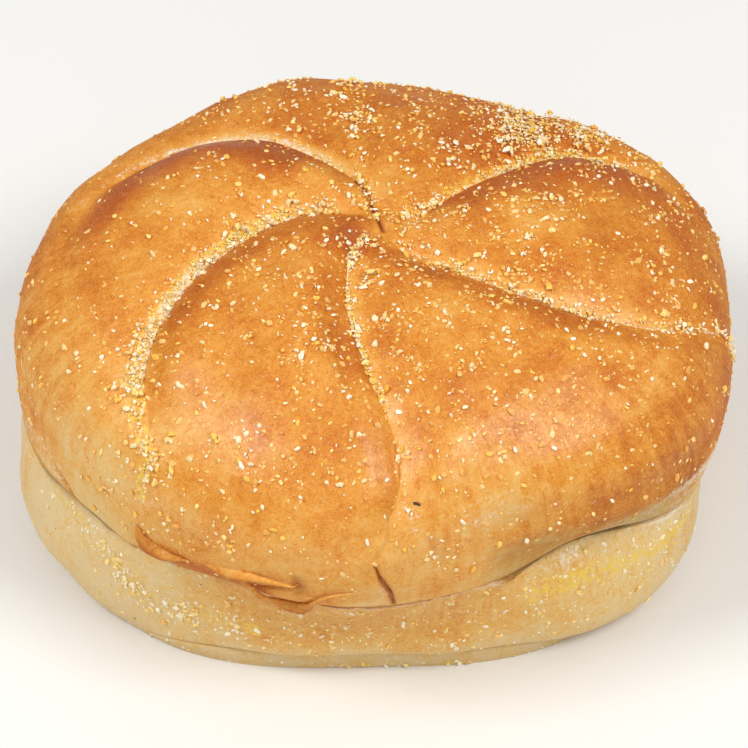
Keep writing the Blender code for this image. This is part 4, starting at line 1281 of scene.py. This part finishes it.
def grain_material(name, stops):
    """Coarse ground maize: hard chips of horny and floury endosperm, waxy and
    slightly see-through, so each has its own tone and a soft glint."""
    material, tree, shader = new_material(name)
    tone = add(tree, "ShaderNodeAttribute", attribute_name="tone").outputs["Fac"]
    place = add(tree, "ShaderNodeTexCoord").outputs["Object"]
    chalk = add(tree, "ShaderNodeTexNoise", [("Vector", place)], Scale=per_mm(0.5), Detail=2.0).outputs["Fac"]
    chalk = add(tree, "ShaderNodeMath", [(0, chalk), (2, tone)], operation="MULTIPLY_ADD", _1=0.3).outputs[0]
    chalk = add(tree, "ShaderNodeMath", [(0, chalk)], operation="SUBTRACT", _1=0.15).outputs[0]
    shade = add(tree, "ShaderNodeValToRGB", [("Fac", chalk)])
    set_ramp(shade, stops)
    tree.links.new(shade.outputs["Color"], shader.inputs["Base Color"])
    shader.inputs["Roughness"].default_value = 0.45
    shader.inputs["IOR"].default_value = 1.5
    shader.inputs["Subsurface Weight"].default_value = 0.25
    shader.inputs["Subsurface Radius"].default_value = (0.9, 0.6, 0.25)
    shader.inputs["Subsurface Scale"].default_value = 0.5 * MM
    return material


HEEL_ROUGHER = 0.05           # the heel wasn't brushed
# Colours of the crust, from the palest to the most baked.
CROWN_COLOURS = ((0.00, "#E1BF7E"), (0.22, "#E3AE5A"), (0.42, "#DE983A"), (0.54, "#D68825"),
                 (0.66, "#C97514"), (0.82, "#BC5F08"), (1.00, "#A84E05"))
HEEL_COLOURS = ((0.00, "#DFC591"), (0.12, "#DFBC76"), (0.32, "#DEA64A"), (0.60, "#CC8228"), (1.00, "#9C5616"))


# ---- Settings, operators and panel -----------------------------------------
class RollSettings(bpy.types.PropertyGroup):
    """Sizes of the cornmeal and of the stage that a user may change."""

    seed: IntProperty(name="Seed", description="Seed of the cornmeal's places and shapes", default=17, min=0)
    grain_size: FloatProperty(
        name="Grain size", description="Usual length of a cornmeal grain", default=0.60 * MM,
        unit="LENGTH", subtype="DISTANCE", precision=5)
    grain_largest: FloatProperty(
        name="Largest grain", description="Longest a cornmeal grain may be", default=1.25 * MM,
        unit="LENGTH", subtype="DISTANCE", precision=5)
    cream_share: FloatProperty(
        name="Cream share", description="Share of the grains that are cream", default=0.36,
        min=0.0, max=0.68, subtype="FACTOR")
    gloss: FloatProperty(
        name="Crust roughness", description="Roughness of the brushed crust", default=0.19,
        min=0.0, max=1.0, subtype="FACTOR")
    camera_height: FloatProperty(
        name="Camera elevation", description="Angle of the camera above the table",
        default=math.radians(44.0), subtype="ANGLE", unit="ROTATION")
    camera_way: FloatProperty(
        name="Camera distance", description="Distance from the roll's middle to the camera",
        default=CAMERA_RADII * RADIUS, unit="LENGTH", subtype="DISTANCE")


class RollColours(bpy.types.PropertyGroup):
    """Colours that a user may change."""

    floor: FloatVectorProperty(
        name="Floor", description="Colour of the plain pale floor", size=4, subtype="COLOR",
        default=srgb("#ECECEB"), min=0.0, max=1.0)
    light: FloatVectorProperty(
        name="Light", description="Colour of the soft lights", size=3, subtype="COLOR",
        default=srgb("#FFFDF9")[:3], min=0.0, max=1.0)


def aimed(forward, turn=Matrix.Identity(4)):
    """Turn of a camera or lamp that looks forward, turned about that way."""
    return turn @ forward.to_track_quat("-Z", "Y").to_matrix().to_4x4()


def place_camera(settings):
    """Camera in front of the roll, looking down at it as the photo does."""
    camera = placed("camera", bpy.data.cameras.new("camera"))
    bpy.context.scene.camera = camera
    height = settings.camera_height
    forward = Vector((0.0, math.cos(height), -math.sin(height)))
    upward = Vector((0.0, math.sin(height), math.cos(height)))
    aim = Vector((0.0, 0.0, AIM_HEIGHT)) + Vector((1.0, 0.0, 0.0)) * AIM_RIGHT + upward * AIM_UP
    tilt = Matrix.Rotation(math.radians(CAMERA_TILT), 4, forward)
    camera.matrix_world = Matrix.Translation(aim - forward * settings.camera_way) @ aimed(forward, tilt)
    camera.data.sensor_width = SENSOR
    camera.data.lens = SENSOR * RADIUS_PIXELS * CAMERA_RADII / PHOTO_PIXELS
    camera.data.clip_start, camera.data.clip_end = 0.01, 20.0


def place_floor(colour):
    """Plain pale table top, a hair below the roll's base."""
    mesh = bpy.data.meshes.new("floor")
    corners = [(x * FLOOR_HALF, y * FLOOR_HALF, -FLOOR_DROP) for x, y in ((-1, -1), (1, -1), (1, 1), (-1, 1))]
    mesh.from_pydata(corners, [], [(0, 1, 2, 3)])
    floor = placed("floor", mesh)
    material, _, shader = new_material("pale_table")
    shader.inputs["Base Color"].default_value = colour
    shader.inputs["Roughness"].default_value = 0.9
    mesh.materials.append(material)


def place_light(colour):
    """Soft room that is brighter from above, and three soft lamps."""
    world = bpy.data.worlds.new("soft_room")
    world.use_nodes = True
    bpy.context.scene.world = world
    tree = world.node_tree
    tree.nodes.clear()
    place = add(tree, "ShaderNodeTexCoord").outputs["Generated"]
    up = add(tree, "ShaderNodeSeparateXYZ", [(0, place)]).outputs["Z"]
    glow = add(tree, "ShaderNodeMapRange", [("Value", up)], From_Min=0.0, From_Max=1.0, To_Min=ROOM_SIDE,
               To_Max=ROOM_TOP).outputs["Result"]
    back = add(tree, "ShaderNodeBackground", [("Strength", glow)], Color=(1.0, 1.0, 1.0, 1.0))
    add(tree, "ShaderNodeOutputWorld", [("Surface", back.outputs["Background"])])
    for name, azimuth, elevation, size, power in LAMPS:
        lamp = placed(name, bpy.data.lights.new(name, "AREA"))
        lamp.data.shape = "SQUARE"
        lamp.data.size = size
        lamp.data.energy = power
        lamp.data.color = colour
        a, e = math.radians(azimuth), math.radians(elevation)
        spot = Vector((math.cos(a) * math.cos(e), math.sin(a) * math.cos(e), math.sin(e)))
        lamp.matrix_world = Matrix.Translation(spot * LAMP_WAY) @ aimed(-spot)


class ROLL_OT_stage(bpy.types.Operator):
    """Camera at the photo's angle, plain pale floor and soft studio light"""

    bl_idname = "roll.stage"
    bl_label = "Stage"

    def execute(self, context):
        colours = context.scene.roll_colours
        place_camera(context.scene.roll_settings)
        place_floor(colours.floor)
        place_light(colours.light)
        context.scene.view_settings.view_transform = "Standard"
        return {"FINISHED"}


def cut_rings(edge, inward, level):
    """Rings of a cut face: the edge drawn in to shares of its reach, level in
    the middle, and following the edge's own height near it."""
    rings = edge * np.array([1.0, 1.0, 0.0]) * inward[:, None, None]
    rings[..., 2] = level + (edge[..., 2] - level) * smooth((inward[:, None] - 0.5) / 0.5)
    return rings


class ROLL_OT_crown(bpy.types.Operator):
    """Crown: browned crust with six folds, and its cut face"""

    bl_idname = "roll.crown"
    bl_label = "Crown"

    def execute(self, context):
        settings = context.scene.roll_settings
        shares = np.linspace(0.0, 1.0, CROWN_ROWS + 1)[1:]
        shares = shares - ROW_CROWDING * np.sin(2.0 * math.pi * shares) / (2.0 * math.pi)
        direction = petal_azimuths(shares * FULL_ARC)
        way = shares[:, None] * FULL_ARC + 0.0 * direction
        crust = crown_surface(direction, way)
        inward = np.append(CUT_BEVEL, np.linspace(1.0, CUT_MIDDLE, CUT_ROWS)[1:])
        rings = np.concatenate([crust, cut_rings(crust[-1:], inward, CUT_HEIGHT)])
        swirl = crown_surface(np.array([0.0]), np.array([0.0]))[0]
        bands = np.array([0] * CROWN_ROWS + [1] * CUT_ROWS)
        skins = [crust_material("brushed_bread_crust", CROWN_COLOURS, settings.gloss), crumb_material()]
        piece = surface_mesh("crown_crust", rings, swirl, (0.0, 0.0, CUT_HEIGHT), skins, bands)
        plain = np.zeros((CUT_ROWS,) + direction.shape[1:])
        tones = {name: with_poles(np.concatenate([values, plain + values[-1]]), values[0].mean(), 0.0)
                 for name, values in crown_tones(direction, way, crust).items()}
        azimuth, arc = crust_place(direction, way)
        streaks = at_reach(RADIUS / MM, azimuth, arc * RADIUS / MM)
        streaks = np.concatenate([streaks, np.zeros(plain.shape + (3,))])
        tones["way"] = with_poles(streaks, (0.0, 0.0, 0.0), (0.0, 0.0, 0.0))
        set_tones(piece, tones)
        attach(piece, "root")
        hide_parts("top_half")
        return {"FINISHED"}


class ROLL_OT_heel(bpy.types.Operator):
    """Heel: pale crust below the cut, its foot and its flat base"""

    bl_idname = "roll.heel"
    bl_label = "Heel"

    def execute(self, context):
        settings = context.scene.roll_settings
        ways = [np.zeros(1)]
        for first, last, count in zip(HEEL_STOPS[:-1], HEEL_STOPS[1:], HEEL_ROWS):
            ways.append(np.linspace(first, last, count + 1)[1:])
        ways = np.concatenate(ways)
        azimuth = np.arange(HEEL_COLUMNS) * 2.0 * math.pi / HEEL_COLUMNS + 0.0 * ways[:, None]
        way = ways[:, None] + 0.0 * azimuth
        crust = heel_surface(azimuth, way)
        inward = np.append(np.linspace(CUT_MIDDLE, 1.0, CUT_ROWS)[:-1], CUT_BEVEL)
        middle = CUT_HEIGHT - CUT_GAP
        shares = np.linspace(1.0, BASE_MIDDLE, BASE_ROWS + 1)[1:, None, None]
        base = crust[-1:] * np.array([1.0, 1.0, 0.0]) * shares
        rings = np.concatenate([cut_rings(crust[:1], inward, middle), crust, base])
        rings[..., 2] = np.maximum(rings[..., 2], 0.0)
        bands = np.array([1] * (CUT_ROWS - 1) + [0] * (len(ways) + BASE_ROWS + 1))
        skin = crust_material("pale_bread_crust", HEEL_COLOURS, settings.gloss + HEEL_ROUGHER)
        skins = [skin, bpy.data.materials["cut_bread_crumb"]]
        piece = surface_mesh("heel_crust", rings, (0.0, 0.0, middle), (0.0, 0.0, 0.0), skins, bands)
        above, below = np.zeros((CUT_ROWS, HEEL_COLUMNS)), np.zeros((BASE_ROWS, HEEL_COLUMNS))
        tones = {}
        for name, values in heel_tones(azimuth, way, crust).items():
            under = values[-1].mean()
            tones[name] = with_poles(np.concatenate([above + values[0], values, below + under]), 0.0, under)
        steps = np.linalg.norm(np.diff(crust, axis=0), axis=-1)
        fall = np.cumsum(np.concatenate([np.zeros((1, HEEL_COLUMNS)), steps]), axis=0) / MM
        streaks = at_reach(RADIUS / MM, azimuth, fall)
        streaks = np.concatenate([np.zeros(above.shape + (3,)), streaks, np.zeros(below.shape + (3,))])
        tones["way"] = with_poles(streaks, (0.0, 0.0, 0.0), (0.0, 0.0, 0.0))
        set_tones(piece, tones)
        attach(piece, "root")
        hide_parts("bottom_half")
        return {"FINISHED"}


class ROLL_OT_torn_crust(bpy.types.Operator):
    """Torn crust: a curled leaf and two strands that hang at the front edge"""

    bl_idname = "roll.torn_crust"
    bl_label = "Torn crust"

    def execute(self, context):
        skins = [bpy.data.materials["brushed_bread_crust"]]
        for seed, (name, brown, stations) in enumerate(TORN_CRUST):
            rings = torn_rings(stations, TORN_SEED + seed)
            ends = rings[0].mean(axis=0), rings[-1].mean(axis=0)
            piece = surface_mesh(name, rings, ends[0], ends[1], skins, np.zeros(TORN_ROWS, int))
            flat = np.zeros(rings.shape[:2])
            # The lower side of each torn piece is painted browner and shaded: painted shade under the piece;
            # the red-brown of its lower, torn edge is its own colour.
            low = (rings[..., 2] - rings[..., 2].mean(axis=1, keepdims=True)) / MM
            browned_with_painted_shade = brown - 0.10 * np.clip(low / 0.5, -1.0, 1.0) + 0.1 * unevenness(rings / MM, 2.0, seed)
            tones = {"brown": browned_with_painted_shade, "flour_and_sheen": flat, "red": 0.45 * np.clip(-low / 0.4, 0.0, 1.0),
                     "wrinkle": flat + 0.5, "shade": 0.10 * np.clip(-low / 0.5, 0.0, 1.0),
                     "meal": flat, "dull": flat + 0.8}
            tones = {key: with_poles(values, values[0].mean(), values[-1].mean())
                     for key, values in tones.items()}
            tones["way"] = with_poles(rings / MM, rings[0, 0] / MM, rings[-1, 0] / MM)
            set_tones(piece, tones)
            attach(piece, "root")
        return {"FINISHED"}


def grain_places(draw, layer, covers, cream_share):
    """Points, normals, tangents, cover, kind and layer of one layer's grains.
    Kinds are drawn by shares: more are cream and golden where meal is thick."""
    last_arc = LAST_ARC_SHARE * FULL_ARC
    azimuth, arc, cover = scatter(draw, covers[0], FIRST_ARC, last_arc, crown_length, CROWN_TRIES)
    crown = surface_frames(crown_surface, azimuth, arc, CROWN_STEP) + (cover,)
    azimuth, way, cover = scatter(draw, covers[1], FIRST_WAY, LAST_WAY, heel_length, HEEL_TRIES)
    heel = surface_frames(heel_surface, azimuth, way, HEEL_STEP) + (cover,)
    both = [np.concatenate(pair) for pair in zip(crown, heel)]
    thick = smooth((both[3] - 0.25) / 0.6)
    cream = cream_share + 0.16 * thick
    golden = (0.70 - cream + 0.16 * thick, 0.42, 0.96 - cream)[layer]
    draws = draw.uniform(0.0, 1.0, len(cream))
    kind = (draws > cream).astype(int) + (draws > cream + golden)
    if layer == GLAZED:
        kind[:len(crown[0])] = GLAZED_KIND
    return both + [kind, np.full(len(kind), layer)]


def speck_corners(draw, half, direction, way, length):
    """Corners of one burnt speck, which lies flat on its half's crust."""
    surface = crown_surface if half == "crown" else heel_surface
    azimuth, way = np.radians([direction]), np.array([way])
    point, normal, tangent = surface_frames(surface, azimuth, way, SPECK_STEP)
    shape = grain_shapes(draw, np.array([length * MM]), 0.35)[0] * np.array([1.0, 0.8, 1.0])
    tangent = 0.85 * tangent - 0.53 * np.cross(normal, tangent)
    return point + shape[:, :1] * tangent + shape[:, 1:2] * np.cross(normal, tangent) + shape[:, 2:] * normal


class ROLL_OT_cornmeal(bpy.types.Operator):
    """Cornmeal: cream, golden and glazed chips on both halves, and a few burnt specks"""

    bl_idname = "roll.cornmeal"
    bl_label = "Cornmeal"

    def execute(self, context):
        settings = context.scene.roll_settings
        draw = np.random.default_rng(settings.seed)
        layers = [grain_places(draw, layer, covers, settings.cream_share) for layer, covers in COVERS.items()]
        points, normals, tangents, cover, kind, layer = (np.concatenate(column) for column in zip(*layers))
        corners = lay_grains(draw, points, normals, tangents, cover, layer, settings)
        lowest = corners[..., 2].min(axis=1)
        corners[..., 2] += np.maximum(TABLE_CLEAR - lowest, 0.0)[:, None]
        tone = draw.uniform(0.0, 1.0, len(points))
        # Grains on the heel get lighter tones: painted light that offsets the shade on the heel's side.
        tone = np.where(points[:, 2] < CUT_HEIGHT - CUT_GAP, 0.45 + 0.55 * tone, tone)
        for index, (name, stops) in enumerate(GRAIN_KINDS):
            kept = kind == index
            material = grain_material("ground_maize_" + name.split("_")[0], stops)
            grain_piece(name, corners[kept], tone[kept], material)
        specks = np.array([speck_corners(draw, *speck) for speck in DARK_SPECKS])
        burnt = grain_material("burnt_crumb", ((0.0, "#4E2E20"), (1.0, "#74503A")))
        grain_piece("dark_specks", specks, np.linspace(0.0, 1.0, len(specks)), burnt)
        return {"FINISHED"}


class ROLL_PT_panel(bpy.types.Panel):
    """Lists the roll's pieces"""

    bl_idname = "ROLL_PT_panel"
    bl_label = "Sliced kaiser roll"
    bl_space_type = "VIEW_3D"
    bl_region_type = "UI"
    bl_category = "Roll"

    def draw(self, context):
        for group in (context.scene.roll_settings, context.scene.roll_colours):
            for name in group.__annotations__:
                self.layout.prop(group, name)
        for operator in STEPS:
            self.layout.operator(operator.bl_idname, text=operator.bl_label)


STEPS = (ROLL_OT_stage, ROLL_OT_crown, ROLL_OT_heel, ROLL_OT_torn_crust, ROLL_OT_cornmeal)
CLASSES = (RollSettings, RollColours) + STEPS + (ROLL_PT_panel,)


def register():
    for item in CLASSES:
        bpy.utils.register_class(item)
    bpy.types.Scene.roll_settings = PointerProperty(type=RollSettings)
    bpy.types.Scene.roll_colours = PointerProperty(type=RollColours)


def unregister():
    del bpy.types.Scene.roll_colours
    del bpy.types.Scene.roll_settings
    for item in reversed(CLASSES):
        bpy.utils.unregister_class(item)


def main():
    """Build every piece in order."""
    register()
    for step in STEPS:
        group, name = step.bl_idname.split(".")
        getattr(getattr(bpy.ops, group), name)()


if __name__ == "__main__":
    main()
